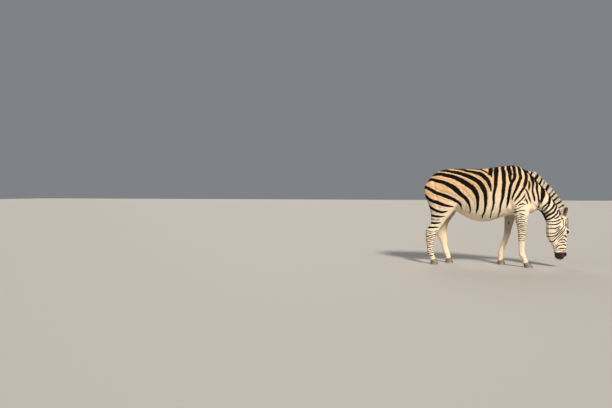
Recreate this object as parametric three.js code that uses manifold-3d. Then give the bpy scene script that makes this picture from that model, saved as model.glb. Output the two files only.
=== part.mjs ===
// A plains zebra at life size, grazing: millimetres, +X toward the nose, +Y to its left, +Z up.
// The body is lofted whole from tables of named sections, then parted into its regions by thin cuts.
import * as THREE from 'three';
import { mergeVertices } from 'three/addons/utils/BufferGeometryUtils.js';
import Module from 'manifold-3d';

const wasm = await Module();
wasm.setup();

// Driving dimensions.
const ORIGIN_X = 173; // middle of the length, brought over the origin
const GAP = 0.35; // width of every parting cut
const HOOF_TRACK = 118; // hoof centre out from the middle plane
const CORONET_HEIGHT = 60;
const CORONET_SLOPE = 0.34; // fall of the coronet from toe to heel, per mm of length
const KNEE_HEIGHT = 335;
const HOCK_HEIGHT = 372;
const HEAD_YAW = 24; // degrees the face is turned to the left
const HEAD_LEAN = 1.5; // degrees the muzzle hangs behind the brow
const BROW = new THREE.Vector3(1046, 64, 695); // where the line of the face meets the poll
const EYE_RADIUS = 21;
const EYE_AT = { down: 246, front: -50, side: 83 };
const EAR_LENGTH = 158;
const EAR_WALL = 5;
const MANE_HEIGHT = 84;
const MANE_ROOT_HALF = 21;
const MANE_TIP_HALF = 9;

const X = new THREE.Vector3(1, 0, 0);
const Y = new THREE.Vector3(0, 1, 0);
const Z = new THREE.Vector3(0, 0, 1);

// Sections of the trunk along X: back line, widest level, belly line, half width and fullness.
const TRUNK = table(['x', 'top', 'mid', 'bottom', 'half', 'crown', 'keel'], [
  [-664, 1090, 1010, 930, 52, 2.0, 2.0],
  [-646, 1132, 1000, 856, 120, 2.0, 2.0],
  [-606, 1174, 985, 790, 168, 2.1, 2.0],
  [-540, 1216, 975, 735, 204, 2.15, 2.0],
  [-460, 1241, 970, 712, 226, 2.15, 2.1],
  [-380, 1249, 962, 706, 236, 2.1, 2.2],
  [-290, 1249, 950, 688, 246, 2.05, 2.2],
  [-200, 1248, 935, 628, 260, 2.0, 2.15],
  [-100, 1245, 920, 581, 273, 2.0, 2.1],
  [0, 1243, 910, 562, 279, 2.0, 2.1],
  [100, 1252, 908, 567, 275, 1.95, 2.1],
  [200, 1268, 912, 600, 262, 1.85, 2.1],
  [300, 1281, 920, 634, 240, 1.75, 2.1],
  [400, 1288, 925, 650, 218, 1.65, 2.1],
  [480, 1268, 925, 657, 203, 1.7, 2.1],
  [560, 1212, 918, 664, 188, 1.85, 2.1],
  [630, 1120, 900, 684, 160, 2.0, 2.1],
  [690, 1000, 880, 724, 112, 2.0, 2.1],
  [722, 930, 868, 772, 58, 2.0, 2.0],
]);

// Sections of the neck from withers to throat: crest point, gullet point, half width.
const NECK = table(['s', 'crestX', 'crestY', 'crestZ', 'gulletX', 'gulletY', 'gulletZ', 'half'], [
  [0.0, 470, 0, 1262, 430, 0, 760, 158],
  [0.14, 556, 0, 1222, 530, 0, 705, 154],
  [0.28, 634, 0, 1144, 622, 0, 696, 142],
  [0.42, 708, 2, 1052, 686, 1, 722, 122],
  [0.55, 774, 5, 983, 722, 0, 706, 104],
  [0.67, 826, 9, 914, 752, -3, 664, 92],
  [0.79, 876, 14, 840, 782, -9, 606, 84],
  [0.9, 924, 20, 768, 800, -15, 550, 78],
  [1.0, 962, 27, 712, 808, -21, 500, 73],
]);

// Sections of the head down from the poll: nose line, widest level, jaw line, half width, fullness.
const HEAD = table(['down', 'front', 'mid', 'back', 'half', 'crown', 'keel'], [
  [-12, -92, -130, -168, 38, 2.0, 2.0],
  [8, -50, -115, -202, 62, 2.1, 2.0],
  [45, -22, -100, -242, 78, 2.2, 2.1],
  [100, -6, -84, -258, 88, 2.4, 2.2],
  [160, 0, -72, -263, 93, 2.6, 2.3],
  [215, 1, -68, -264, 94, 2.6, 2.4],
  [265, -1, -72, -261, 86, 2.4, 2.6],
  [315, -5, -84, -251, 74, 2.2, 2.7],
  [360, -7, -92, -228, 63, 2.2, 2.6],
  [420, -10, -92, -188, 55, 2.2, 2.3],
  [475, -13, -88, -163, 51, 2.2, 2.2],
  [520, -18, -86, -146, 54, 2.3, 2.3],
  [556, -26, -84, -132, 55, 2.4, 2.3],
  [582, -44, -84, -118, 48, 2.3, 2.2],
  [595, -66, -84, -104, 34, 2.1, 2.1],
]);

// Girth of a fore leg by height: half depth fore and aft, half width, set out from the middle.
const FORE_GIRTH = table(['z', 'depth', 'width', 'out', 'full'], [
  [0, 52, 52, HOOF_TRACK, 2.2],
  [34, 44, 45, HOOF_TRACK, 2.2],
  [60, 36, 37, HOOF_TRACK, 2.2],
  [70, 32, 30, HOOF_TRACK, 2.2],
  [108, 32, 29, HOOF_TRACK, 2.2],
  [145, 38, 33, HOOF_TRACK, 2.2],
  [180, 34, 28, HOOF_TRACK, 2.2],
  [225, 33, 26, HOOF_TRACK + 1, 2.2],
  [315, 37, 31, HOOF_TRACK + 2, 2.2],
  [365, 43, 41, HOOF_TRACK + 4, 2.4],
  [405, 46, 43, HOOF_TRACK + 6, 2.4],
  [450, 48, 43, HOOF_TRACK + 9, 2.2],
  [510, 58, 48, HOOF_TRACK + 15, 2.2],
  [590, 71, 56, HOOF_TRACK + 24, 2.2],
  [660, 91, 62, HOOF_TRACK + 30, 2.3],
  [740, 116, 62, HOOF_TRACK + 32, 2.4],
  [850, 128, 54, HOOF_TRACK + 20, 2.4],
  [950, 116, 44, HOOF_TRACK + 4, 2.3],
]);

// Girth of a hind leg, the same way.
const HIND_GIRTH = table(['z', 'depth', 'width', 'out', 'full'], [
  [0, 53, 50, HOOF_TRACK, 2.2],
  [34, 45, 43, HOOF_TRACK, 2.2],
  [60, 37, 36, HOOF_TRACK, 2.2],
  [70, 33, 30, HOOF_TRACK, 2.2],
  [106, 35, 29, HOOF_TRACK, 2.2],
  [138, 42, 33, HOOF_TRACK, 2.2],
  [170, 38, 29, HOOF_TRACK, 2.2],
  [215, 38, 26, HOOF_TRACK, 2.2],
  [258, 42, 27, HOOF_TRACK, 2.2],
  [305, 52, 31, HOOF_TRACK, 2.2],
  [354, 62, 37, HOOF_TRACK, 2.2],
  [400, 72, 41, HOOF_TRACK, 2.1],
  [440, 81, 40, HOOF_TRACK, 2.0],
  [480, 79, 40, HOOF_TRACK + 1, 2.0],
  [530, 80, 46, HOOF_TRACK + 3, 2.1],
  [590, 98, 58, HOOF_TRACK + 8, 2.2],
  [646, 127, 71, HOOF_TRACK + 11, 2.3],
  [721, 160, 85, HOOF_TRACK + 14, 2.5],
  [800, 184, 95, HOOF_TRACK + 16, 2.7],
  [880, 207, 100, HOOF_TRACK + 15, 2.8],
  [960, 220, 97, HOOF_TRACK + 12, 2.8],
  [1040, 211, 86, HOOF_TRACK + 2, 2.6],
  [1110, 150, 62, HOOF_TRACK - 12, 2.3],
]);

// Where each leg's middle stands along X at each height.
const NEAR_FORE = table(['z', 'x'], [
  [0, 590], [60, 557], [85, 546], [112, 530], [145, 513], [175, 507], [222, 503], [315, 503],
  [405, 503], [510, 504], [590, 497], [660, 494], [760, 486], [850, 476], [950, 462],
]);
const FAR_FORE = table(['z', 'x'], [
  [0, 262], [60, 257], [85, 256], [112, 256], [145, 258], [175, 263], [222, 273], [315, 309],
  [405, 335], [480, 345], [633, 370], [760, 406], [850, 432], [950, 446],
]);
const NEAR_HIND = table(['z', 'x'], [
  [0, -568], [60, -584], [85, -592], [108, -605], [138, -621], [168, -626], [210, -629],
  [258, -631], [305, -628], [354, -622], [400, -615], [440, -603], [472, -581], [521, -543],
  [590, -515], [646, -492], [721, -471], [800, -472], [880, -485], [960, -494], [1040, -488],
  [1110, -460],
]);
const FAR_HIND = table(['z', 'x'], [
  [0, -398], [60, -407], [85, -413], [108, -424], [138, -437], [168, -446], [210, -459],
  [258, -470], [305, -479], [354, -496], [400, -508], [440, -512], [472, -506], [521, -496],
  [590, -473], [646, -459], [721, -448], [800, -452], [880, -472], [960, -488], [1040, -484],
  [1110, -460],
]);

// The tail: carried in the cleft of the buttocks, then hanging between the hind legs.
const TAIL = table(['s', 'x', 'y', 'z', 'wide', 'deep'], [
  [0.0, -596, 0, 1134, 24, 22],
  [0.1, -640, 0, 1108, 25, 23],
  [0.2, -668, 0, 1050, 25, 23],
  [0.32, -682, 0, 970, 23, 21],
  [0.44, -675, 2, 890, 20, 19],
  [0.54, -650, 4, 812, 19, 20],
  [0.64, -624, 5, 740, 24, 27],
  [0.76, -606, 6, 650, 28, 32],
  [0.88, -600, 7, 560, 24, 28],
  [1.0, -606, 8, 462, 9, 10],
]);
const TUFT_FROM = 785; // height where the long hair of the tail begins

// The ear: half width, cup depth and the angle the shell wraps round, from root to tip.
const EAR = table(['t', 'half', 'cup', 'wrap'], [
  [0.0, 20, 22, 172],
  [0.16, 27, 28, 148],
  [0.34, 36, 30, 112],
  [0.54, 42, 26, 96],
  [0.74, 38, 19, 90],
  [0.9, 25, 12, 86],
  [1.0, 9, 6, 84],
]);

function table(keys, rows) {
  const along = keys[0];
  const named = rows.map((row) => Object.fromEntries(keys.map((key, i) => [key, row[i]])));
  return smooth(named, along);
}

// Monotone cubic through named rows: passes every row and never overshoots.
function smooth(rows, along) {
  const at = rows.map((row) => row[along]);
  const last = at.length - 1;
  const keys = Object.keys(rows[0]).filter((key) => key !== along);
  const slopes = keys.map((key) => {
    const secants = rows.slice(1).map((row, i) => (row[key] - rows[i][key]) / (at[i + 1] - at[i]));
    return at.map((_, i) => {
      const before = secants[Math.max(i - 1, 0)];
      const after = secants[Math.min(i, last - 1)];
      return before * after <= 0 ? 0 : (2 * before * after) / (before + after);
    });
  });
  const sample = (t) => {
    let i = at.findIndex((value) => value > t) - 1;
    i = i < 0 ? (t <= at[0] ? 0 : last - 1) : i;
    const span = at[i + 1] - at[i];
    const p = Math.min(Math.max((t - at[i]) / span, 0), 1);
    const out = { [along]: t };
    keys.forEach((key, k) => {
      const a = rows[i][key];
      const b = rows[i + 1][key];
      const from = slopes[k][i] * span;
      const to = slopes[k][i + 1] * span;
      out[key] = a * (1 + 2 * p) * (1 - p) ** 2 + from * p * (1 - p) ** 2
        + b * p * p * (3 - 2 * p) + to * p * p * (p - 1);
    });
    return out;
  };
  return { sample, rows, from: at[0], to: at[last] };
}

// A closed ring of points; its upper and lower halves may differ in height and fullness.
function ring(centre, across, up, { half, rise, drop = rise, crown = 2, keel = crown }, count) {
  const points = [];
  for (let i = 0; i < count; i += 1) {
    const angle = (2 * Math.PI * i) / count;
    const c = Math.cos(angle);
    const s = Math.sin(angle);
    const power = 2 / (s >= 0 ? crown : keel);
    const w = Math.sign(c) * Math.abs(c) ** power * half;
    const h = (s >= 0 ? rise : -drop) * Math.abs(s) ** power;
    points.push(centre.clone().addScaledVector(across, w).addScaledVector(up, h));
  }
  return points;
}

function solid(geometry) {
  const bare = new THREE.BufferGeometry();
  bare.setAttribute('position', geometry.getAttribute('position'));
  bare.setIndex(geometry.getIndex());
  const merged = mergeVertices(bare, 1e-3);
  return new wasm.Manifold(new wasm.Mesh({
    numProp: 3,
    vertProperties: Float32Array.from(merged.getAttribute('position').array),
    triVerts: Uint32Array.from(merged.getIndex().array),
  }));
}

// A closed skin through rings of equal count; each end is closed by a strip between its two halves.
function loft(rings) {
  const count = rings[0].length;
  const index = [];
  const end = (rings.length - 1) * count;
  for (let r = 0; r < end; r += count) {
    for (let i = 0; i < count; i += 1) {
      const j = (i + 1) % count;
      index.push(r + i, r + j, r + count + i, r + j, r + count + j, r + count + i);
    }
  }
  for (let i = 0; i < count / 2 - 1; i += 1) {
    const [a, b, c, d] = [i, i + 1, count - 2 - i, count - 1 - i];
    index.push(a, c, b, a, d, c, end + a, end + b, end + c, end + a, end + c, end + d);
  }
  const geometry = new THREE.BufferGeometry().setFromPoints(rings.flat());
  geometry.setIndex(index);
  return solid(geometry);
}

function unite(...solids) {
  return solids.reduce((whole, next) => whole.add(next));
}

// An ellipsoid set in the head: its radii run out through the face, down it and to the side.
function bulge(at, radii, tilt = 0) {
  const ball = new THREE.SphereGeometry(1, 10, 7).scale(radii[0], radii[1], radii[2])
    .rotateZ(THREE.MathUtils.degToRad(tilt));
  const frame = new THREE.Matrix4().makeBasis(FRONT, DOWN, SIDE).setPosition(onHead(at));
  return solid(ball.applyMatrix4(frame));
}

// Heights or stations of a table, with extra ones between its rows.
function stations(of, between = 0) {
  const out = [];
  of.rows.slice(0, -1).forEach((row, i) => {
    const key = Object.keys(row)[0];
    for (let k = 0; k <= between; k += 1) {
      out.push(row[key] + ((of.rows[i + 1][key] - row[key]) * k) / (between + 1));
    }
  });
  return [...out, of.to];
}

function trunk(grow = 0) {
  return loft(stations(TRUNK).map((x) => {
    const t = TRUNK.sample(x);
    const end = x === TRUNK.from ? -grow : x === TRUNK.to ? grow : 0;
    return ring(new THREE.Vector3(x + end, 0, t.mid), Y, Z, {
      half: t.half + grow,
      rise: t.top - t.mid + grow,
      drop: t.mid - t.bottom + grow,
      crown: t.crown,
      keel: t.keel,
    }, 24);
  }));
}

function neck(grow = 0) {
  return loft(stations(NECK).map((s) => {
    const t = NECK.sample(s);
    const crest = new THREE.Vector3(t.crestX, t.crestY, t.crestZ);
    const gullet = new THREE.Vector3(t.gulletX, t.gulletY, t.gulletZ);
    const up = crest.clone().sub(gullet).normalize();
    const middle = crest.clone().lerp(gullet, 0.56);
    const across = Z.clone().cross(up).normalize();
    return ring(middle, across, up, {
      half: t.half + grow,
      rise: crest.distanceTo(middle) + grow,
      drop: gullet.distanceTo(middle) + grow,
      crown: 1.75,
      keel: 2.15,
    }, 20);
  }));
}

// The head's own frame: down the face, out through the nose line, and to its left side.
const yaw = THREE.MathUtils.degToRad(HEAD_YAW);
const lean = THREE.MathUtils.degToRad(HEAD_LEAN);
const DOWN = new THREE.Vector3(-Math.sin(lean) * Math.cos(yaw), -Math.sin(lean) * Math.sin(yaw), -Math.cos(lean));
const SIDE = new THREE.Vector3(-Math.sin(yaw), Math.cos(yaw), 0);
const FRONT = SIDE.clone().cross(DOWN).negate();

function onHead({ down, front, side }) {
  return BROW.clone().addScaledVector(DOWN, down).addScaledVector(FRONT, front)
    .addScaledVector(SIDE, side);
}

function skull(grow = 0) {
  return loft(stations(HEAD).reverse().map((down) => {
    const t = HEAD.sample(down);
    const end = down === HEAD.from ? -grow : down === HEAD.to ? grow : 0;
    const centre = onHead({ down: down + end, front: t.mid, side: 0 });
    return ring(centre, SIDE.clone().negate(), FRONT, {
      half: t.half + grow,
      rise: t.front - t.mid + grow,
      drop: t.mid - t.back + grow,
      crown: t.crown,
      keel: t.keel,
    }, 20);
  }));
}

function eyeball(hand, grow = 0) {
  const radius = EYE_RADIUS + grow;
  return bulge({ ...EYE_AT, side: hand * EYE_AT.side }, [radius, radius, radius]);
}

function head() {
  let shape = skull();
  for (const hand of [-1, 1]) {
    const { down, front, side } = EYE_AT;
    const lids = bulge({ down, front, side: hand * side }, [EYE_RADIUS + 3, EYE_RADIUS + 6, EYE_RADIUS + 3]);
    const slit = bulge({ down, front, side: hand * (side + EYE_RADIUS) }, [11, 19, 16]);
    const orbit = bulge({ down: 240, front: -46, side: hand * 74 }, [34, 48, 29]);
    const nostril = bulge({ down: 522, front: -42, side: hand * 34 }, [24, 36, 25], -30);
    const hole = bulge({ down: 532, front: -34, side: hand * 54 }, [8, 17, 13], -30);
    shape = unite(shape, orbit, lids, nostril).subtract(eyeball(hand, GAP)).subtract(slit).subtract(hole);
  }
  return shape.add(bulge({ down: 552, front: -122, side: 0 }, [20, 30, 36]));
}

function ear(hand) {
  const root = onHead({ down: 94, front: -92, side: hand * 60 });
  const along = DOWN.clone().multiplyScalar(-0.94).addScaledVector(SIDE, hand * 0.3)
    .addScaledVector(FRONT, 0.14).normalize();
  const open = SIDE.clone().multiplyScalar(hand).addScaledVector(FRONT, -0.12);
  open.addScaledVector(along, -open.dot(along)).normalize();
  const across = along.clone().cross(open);
  const arc = 7;
  return loft(stations(EAR).map((t) => {
    const { half, cup, wrap } = EAR.sample(t);
    const wall = EAR_WALL * (1 - 0.4 * t);
    const centre = root.clone().addScaledVector(along, t * EAR_LENGTH)
      .addScaledVector(open, -10 * t * t);
    const turn = THREE.MathUtils.degToRad(wrap);
    const shell = (k, w, d) => {
      const angle = turn * ((2 * k) / arc - 1);
      return centre.clone().addScaledVector(across, Math.sin(angle) * w)
        .addScaledVector(open, -Math.cos(angle) * d);
    };
    const outer = Array.from({ length: arc + 1 }, (_, k) => shell(k, half, cup));
    const inner = Array.from({ length: arc + 1 }, (_, k) => shell(arc - k, half - wall, cup - wall));
    return [...outer, ...inner].reverse();
  }));
}

function leg({ girth, line, hand, slim = 1 }) {
  return loft(stations(girth).map((z) => {
    const { depth, width, out, full } = girth.sample(z);
    const { x } = line.sample(z);
    const half = z > KNEE_HEIGHT ? depth * slim : depth;
    return ring(new THREE.Vector3(x, hand * out, z), X, Y, { half, rise: width, crown: full }, 14);
  }));
}

// The standing mane: a blade along the crest, deepest at mid neck, sunk a little into it.
function mane() {
  const along = Array.from({ length: 10 }, (_, i) => 0.22 + (0.81 * i) / 9);
  return loft(along.map((s) => {
    const t = NECK.sample(Math.min(s, 1));
    const next = NECK.sample(Math.min(s, 0.99) + 0.01);
    const here = NECK.sample(Math.min(s, 0.99));
    const run = new THREE.Vector3(next.crestX - here.crestX, 0, next.crestZ - here.crestZ).normalize();
    const drift = (next.crestY - here.crestY) * 100;
    const up = new THREE.Vector3(-run.z, 0, run.x);
    const past = Math.max(s - 1, 0);
    const foot = new THREE.Vector3(t.crestX, t.crestY + past * drift, t.crestZ)
      .addScaledVector(run, past * 900);
    const height = MANE_HEIGHT * Math.min(1, 0.3 + (s - 0.22) * 4);
    const blade = [
      [-1, -26], [-0.98, 0], [-0.8, 0.45 * height], [-0.42, 0.92 * height], [0, height],
      [0.42, 0.92 * height], [0.8, 0.45 * height], [0.98, 0], [1, -26],
    ];
    return blade.map(([w, h]) => {
      const part = Math.min(Math.max(h / height, 0), 1);
      const thick = MANE_ROOT_HALF + (MANE_TIP_HALF - MANE_ROOT_HALF) * part;
      return foot.clone().addScaledVector(Y, w * thick).addScaledVector(up, h);
    }).reverse();
  }));
}

function forelock() {
  const rows = table(['down', 'front', 'half', 'thick'], [
    [4, -34, 24, 20],
    [30, -12, 27, 20],
    [64, 0, 25, 18],
    [98, 6, 18, 14],
    [128, 8, 7, 7],
  ]);
  return loft(stations(rows).reverse().map((down) => {
    const t = rows.sample(down);
    const centre = onHead({ down, front: t.front, side: 0 });
    return ring(centre, SIDE.clone().negate(), FRONT, { half: t.half, rise: t.thick, crown: 2.3 }, 12);
  }));
}

function tail() {
  return loft(stations(TAIL).map((s) => {
    const t = TAIL.sample(s);
    const next = TAIL.sample(Math.min(s + 0.01, 1));
    const last = TAIL.sample(Math.min(s + 0.01, 1) - 0.01);
    const run = new THREE.Vector3(next.x - last.x, next.y - last.y, next.z - last.z).normalize();
    const up = run.clone().cross(Y).normalize();
    return ring(new THREE.Vector3(t.x, t.y, t.z), Y, up, { half: t.wide, rise: t.deep, crown: 2 }, 12);
  }));
}

// Half spaces and boxes that only do the parting.
function beyond(point, normal) {
  const size = 3000;
  const turn = new THREE.Quaternion().setFromUnitVectors(Z, normal.clone().normalize());
  const box = new THREE.BoxGeometry(size, size, size).translate(0, 0, size / 2)
    .applyQuaternion(turn).translate(point.x, point.y, point.z);
  return solid(box);
}

function part(whole, point, normal) {
  const step = normal.clone().normalize().multiplyScalar(GAP / 2);
  const front = whole.intersect(beyond(point.clone().add(step), normal));
  const back = whole.intersect(beyond(point.clone().sub(step), normal.clone().negate()));
  return [front, back];
}

// A leg's share of the body: a box that widens to the ground, under a top that rises outward.
function share({ from, to, low, hand, inner, outer, topInner, topOuter, rise = 0 }, grow = 0) {
  const corners = [[0, inner - grow], [1, inner - grow], [1, outer + grow], [0, outer + grow]];
  const tops = corners.map(([ahead, out]) => {
    const across = topInner + ((topOuter - topInner) * (out - inner)) / (outer - inner);
    const x = ahead ? to + grow : from - grow;
    return new THREE.Vector3(x, hand * out, across + (rise * (to - x)) / (to - from) + grow);
  });
  const base = corners.map(([ahead, out]) => {
    const x = ahead ? low[1] + grow : low[0] - grow;
    return new THREE.Vector3(x, hand * out, -40 - grow);
  });
  const rings = hand > 0 ? [base, tops] : [base.reverse(), tops.reverse()];
  return loft(rings);
}

const LEGS = [
  {
    name: 'foreleg_right', hoof: 'hoof_fore_right', girth: FORE_GIRTH, line: NEAR_FORE, hand: -1,
    joint: KNEE_HEIGHT,
    cut: { from: 385, to: 604, low: [385, 700], inner: 20, outer: 340, topInner: 655, topOuter: 800 },
  },
  {
    name: 'foreleg_left', hoof: 'hoof_fore_left', girth: FORE_GIRTH, line: FAR_FORE, hand: 1,
    joint: KNEE_HEIGHT, slim: 0.88,
    cut: { from: 286, to: 486, low: [150, 486], inner: 20, outer: 340, topInner: 644, topOuter: 800 },
  },
  {
    name: 'hindleg_right', hoof: 'hoof_hind_right', girth: HIND_GIRTH, line: NEAR_HIND, hand: -1,
    joint: HOCK_HEIGHT,
    cut: {
      from: -800, to: -306, low: [-800, -306], inner: 0.2, outer: 340, topInner: 690, topOuter: 790, rise: 90,
    },
  },
  {
    name: 'hindleg_left', hoof: 'hoof_hind_left', girth: HIND_GIRTH, line: FAR_HIND, hand: 1,
    joint: HOCK_HEIGHT,
    cut: {
      from: -800, to: -290, low: [-800, -290], inner: 0.2, outer: 340, topInner: 690, topOuter: 790, rise: 90,
    },
  },
];

const flesh = unite(trunk(), neck(), head(), ...LEGS.map(leg));
const pieces = {};

let core = flesh;
for (const limb of LEGS) {
  const whole = flesh.intersect(share({ ...limb.cut, hand: limb.hand }));
  core = core.subtract(share({ ...limb.cut, hand: limb.hand }, GAP));
  const joint = new THREE.Vector3(0, 0, limb.joint);
  const [upper, lower] = part(whole, joint, Z);
  const foot = new THREE.Vector3(limb.line.sample(CORONET_HEIGHT).x, 0, CORONET_HEIGHT);
  const [shank, hoof] = part(lower, foot, new THREE.Vector3(-CORONET_SLOPE, 0, 1));
  pieces[`${limb.name}_upper`] = upper;
  pieces[`${limb.name}_lower`] = shank;
  pieces[limb.hoof] = hoof;
}

const [face, body] = part(core, new THREE.Vector3(799, 0, 588), new THREE.Vector3(0.73, 0, -0.68));
const [throat, torso] = part(body, new THREE.Vector3(590, 0, 1204), new THREE.Vector3(0.951, 0, 0.31));
const [rest, croup] = part(torso, new THREE.Vector3(-262, 0, 900), X);
pieces.head = face;
pieces.neck = throat;
[pieces.shoulders, pieces.barrel] = part(rest, new THREE.Vector3(205, 0, 900), X);
pieces.croup = croup;

const covered = unite(trunk(GAP), neck(GAP), skull(GAP));
pieces.mane = mane().subtract(covered);
pieces.forelock = forelock().subtract(covered).subtract(mane());
for (const [side, hand] of [['right', -1], ['left', 1]]) {
  pieces[`eye_${side}`] = eyeball(hand);
  pieces[`ear_${side}`] = ear(hand).subtract(covered).subtract(pieces.mane);
}
const dressed = tail().subtract(covered);
[pieces.tail_dock, pieces.tail_tuft] = part(dressed, new THREE.Vector3(0, 0, TUFT_FROM), Z);

const LOOKS = [
  [/^hoof/, 0x4b443d, 0.55],
  [/^eye/, 0x1a1110, 0.1],
  [/^mane|^forelock|tuft$/, 0x3a3029, 0.85],
  [/./, 0xd9c7a8, 0.85],
];

function toMesh(name, shape) {
  const { vertProperties, triVerts } = shape.translate([-ORIGIN_X, 0, 0]).getMesh();
  const geometry = new THREE.BufferGeometry();
  geometry.setAttribute('position', new THREE.BufferAttribute(vertProperties, 3));
  geometry.setIndex(new THREE.BufferAttribute(triVerts, 1));
  geometry.computeVertexNormals();
  const [, color, roughness] = LOOKS.find(([pattern]) => pattern.test(name));
  const mesh = new THREE.Mesh(geometry, new THREE.MeshStandardMaterial({ color, roughness, metalness: 0 }));
  mesh.name = name;
  return mesh;
}

const group = new THREE.Group();
for (const [name, shape] of Object.entries(pieces)) {
  group.add(toMesh(name, shape));
}

export default group;
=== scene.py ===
import math

import bmesh
import bpy
import numpy as np
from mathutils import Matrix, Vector
from mathutils.bvhtree import BVHTree


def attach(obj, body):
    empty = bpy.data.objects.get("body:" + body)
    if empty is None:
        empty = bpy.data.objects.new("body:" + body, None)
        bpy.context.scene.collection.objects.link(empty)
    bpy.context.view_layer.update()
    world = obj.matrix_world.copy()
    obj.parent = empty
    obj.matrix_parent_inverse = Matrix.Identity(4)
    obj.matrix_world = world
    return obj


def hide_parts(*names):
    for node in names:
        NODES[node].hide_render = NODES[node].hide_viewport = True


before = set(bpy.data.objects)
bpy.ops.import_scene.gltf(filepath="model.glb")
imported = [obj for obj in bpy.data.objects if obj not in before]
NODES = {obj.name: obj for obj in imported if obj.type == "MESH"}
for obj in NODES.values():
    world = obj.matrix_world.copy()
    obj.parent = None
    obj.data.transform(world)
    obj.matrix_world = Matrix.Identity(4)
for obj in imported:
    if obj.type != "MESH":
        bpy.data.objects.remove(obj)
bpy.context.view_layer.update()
RANDOM = np.random.default_rng(11)
HANDS = (-1, 1)
SIDES = ((-1, "right"), (1, "left"))

# ---- frames
# Markings and modelling are given in millimetres in the animal's own frame,
# whose origin is this far in front of the row's.
ORIGIN = np.array([173.0, 0.0, 0.0])
HEAD_YAW = math.radians(24)
HEAD_LEAN = math.radians(1.5)
BROW = np.array([1046.0, 64.0, 695.0])
DOWN = np.array([
    -math.sin(HEAD_LEAN) * math.cos(HEAD_YAW),
    -math.sin(HEAD_LEAN) * math.sin(HEAD_YAW),
    -math.cos(HEAD_LEAN),
])
SIDE = np.array([-math.sin(HEAD_YAW), math.cos(HEAD_YAW), 0.0])
FRONT = -np.cross(SIDE, DOWN)
# down the face, out through it, and to the side
EYE = (246.0, -50.0, 83.0)
EYE_RADIUS = 21.0
# half the length and height of the bare dark skin about an eye, and of the part without tufts
EYE_SKIN = (27, 18.5)
EYE_BARE = (22, 14.5)
EAR_LENGTH = 158.0
# the forelegs are in front of this, and the neck hangs in front of the legs
FORE_FROM = 60
NECK_FROM = 640

CREST = np.array([
    (470, 0, 1262), (556, 0, 1222), (634, 0, 1144), (708, 2, 1052), (774, 5, 983),
    (826, 9, 914), (876, 14, 840), (924, 20, 768), (962, 27, 712),
], float)
NEAR_FORE = np.array([
    (0, 590), (60, 557), (112, 530), (175, 507), (222, 503), (405, 503),
    (590, 497), (760, 486), (850, 476), (950, 462),
], float)
FAR_FORE = np.array([
    (0, 262), (60, 257), (112, 256), (175, 263), (222, 273), (315, 309), (405, 335),
    (480, 345), (633, 370), (760, 406), (850, 432), (950, 446),
], float)
NEAR_HIND = np.array([
    (0, -568), (60, -584), (108, -605), (168, -626), (258, -631), (354, -622),
    (440, -603), (521, -543), (646, -492), (800, -472), (960, -494), (1110, -460),
], float)
FAR_HIND = np.array([
    (0, -398), (60, -407), (108, -424), (168, -446), (258, -470), (305, -479),
    (400, -508), (472, -506), (590, -473), (721, -448), (800, -452), (960, -488),
    (1110, -460),
], float)



def unit(v):
    v = np.asarray(v, float)
    return v / np.maximum(np.linalg.norm(v, axis=-1, keepdims=True), 1e-9)


def along_skin(way, n):
    """Directions laid flat on a surface with these normals."""
    return unit(way - n * np.sum(way * n, axis=1, keepdims=True))


def ramp(x, a, b):
    """0 at a, 1 at b, smooth between."""
    t = np.clip((x - a) / (b - a), 0, 1)
    return t * t * (3 - 2 * t)


def mixed(a, b, share):
    """a where the share is 0, b where it is 1."""
    return a * (1 - share) + b * share


def animal(v):
    """Row metres to the animal's millimetres."""
    return v * 1000 + ORIGIN


def row(p):
    """The animal's millimetres to row metres."""
    return (np.asarray(p, float) - ORIGIN) / 1000


def on_head(down, front, side):
    return BROW + DOWN * down + FRONT * front + SIDE * side


def head_frame(p):
    """How far down the face, out through it, and to the left, in millimetres."""
    q = p - BROW
    return q @ DOWN, q @ FRONT, q @ SIDE


def waves(p, scale, seed):
    """Soft noise from about -1 to 1: a few sine waves in fixed directions."""
    rng = np.random.default_rng(seed)
    total = np.zeros(len(p))
    for _ in range(7):
        k = unit(rng.normal(size=3)) * rng.uniform(0.6, 1.5) * 2 * math.pi / scale
        total += np.sin(p @ k + rng.uniform(0, 2 * math.pi))
    return total / 3.2


def near_line(p, points):
    """Distance from each point to a polyline."""
    best = np.full(len(p), np.inf)
    for a, b in zip(points[:-1], points[1:]):
        ab = b - a
        k = np.clip(((p - a) @ ab) / (ab @ ab), 0, 1)
        best = np.minimum(best, np.linalg.norm(p - a - k[:, None] * ab, axis=1))
    return best


def thread(points, steps=6):
    """A smooth line through points of any number of values."""
    p = np.array(points, float)
    if len(p) == 1:
        return np.concatenate([p, p + 0.001])
    if len(p) == 2:
        return p
    ends = np.concatenate([[2 * p[0] - p[1]], p, [2 * p[-1] - p[-2]]])
    out = []
    for a, b, c, d in zip(ends[:-3], ends[1:-2], ends[2:-1], ends[3:]):
        for t in np.arange(steps) / steps:
            out.append(0.5 * (2 * b + (c - a) * t + (2 * a - 5 * b + 4 * c - d) * t * t
                              + (3 * b - a - 3 * c + d) * t ** 3))
    return np.array([*out, p[-1]])


def at_share(line, far, k):
    """Places on a line whose points lie at the shares far of its length."""
    return np.stack([np.interp(k, far, line[:, c]) for c in range(3)], axis=-1)


# ---- parts of the animal
def head_share(p):
    """1 on the head, 0 from the neck back."""
    d, f, _ = head_frame(p)
    return ramp(d + 0.8 * np.minimum(0, f + 170), -50, 40) * ramp(p[:, 0], 700, 790)


def leg_share(p):
    """1 on the legs below the trunk."""
    return ramp(p[:, 2], 690, 600) * ramp(p[:, 0], 690, 640)


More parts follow.
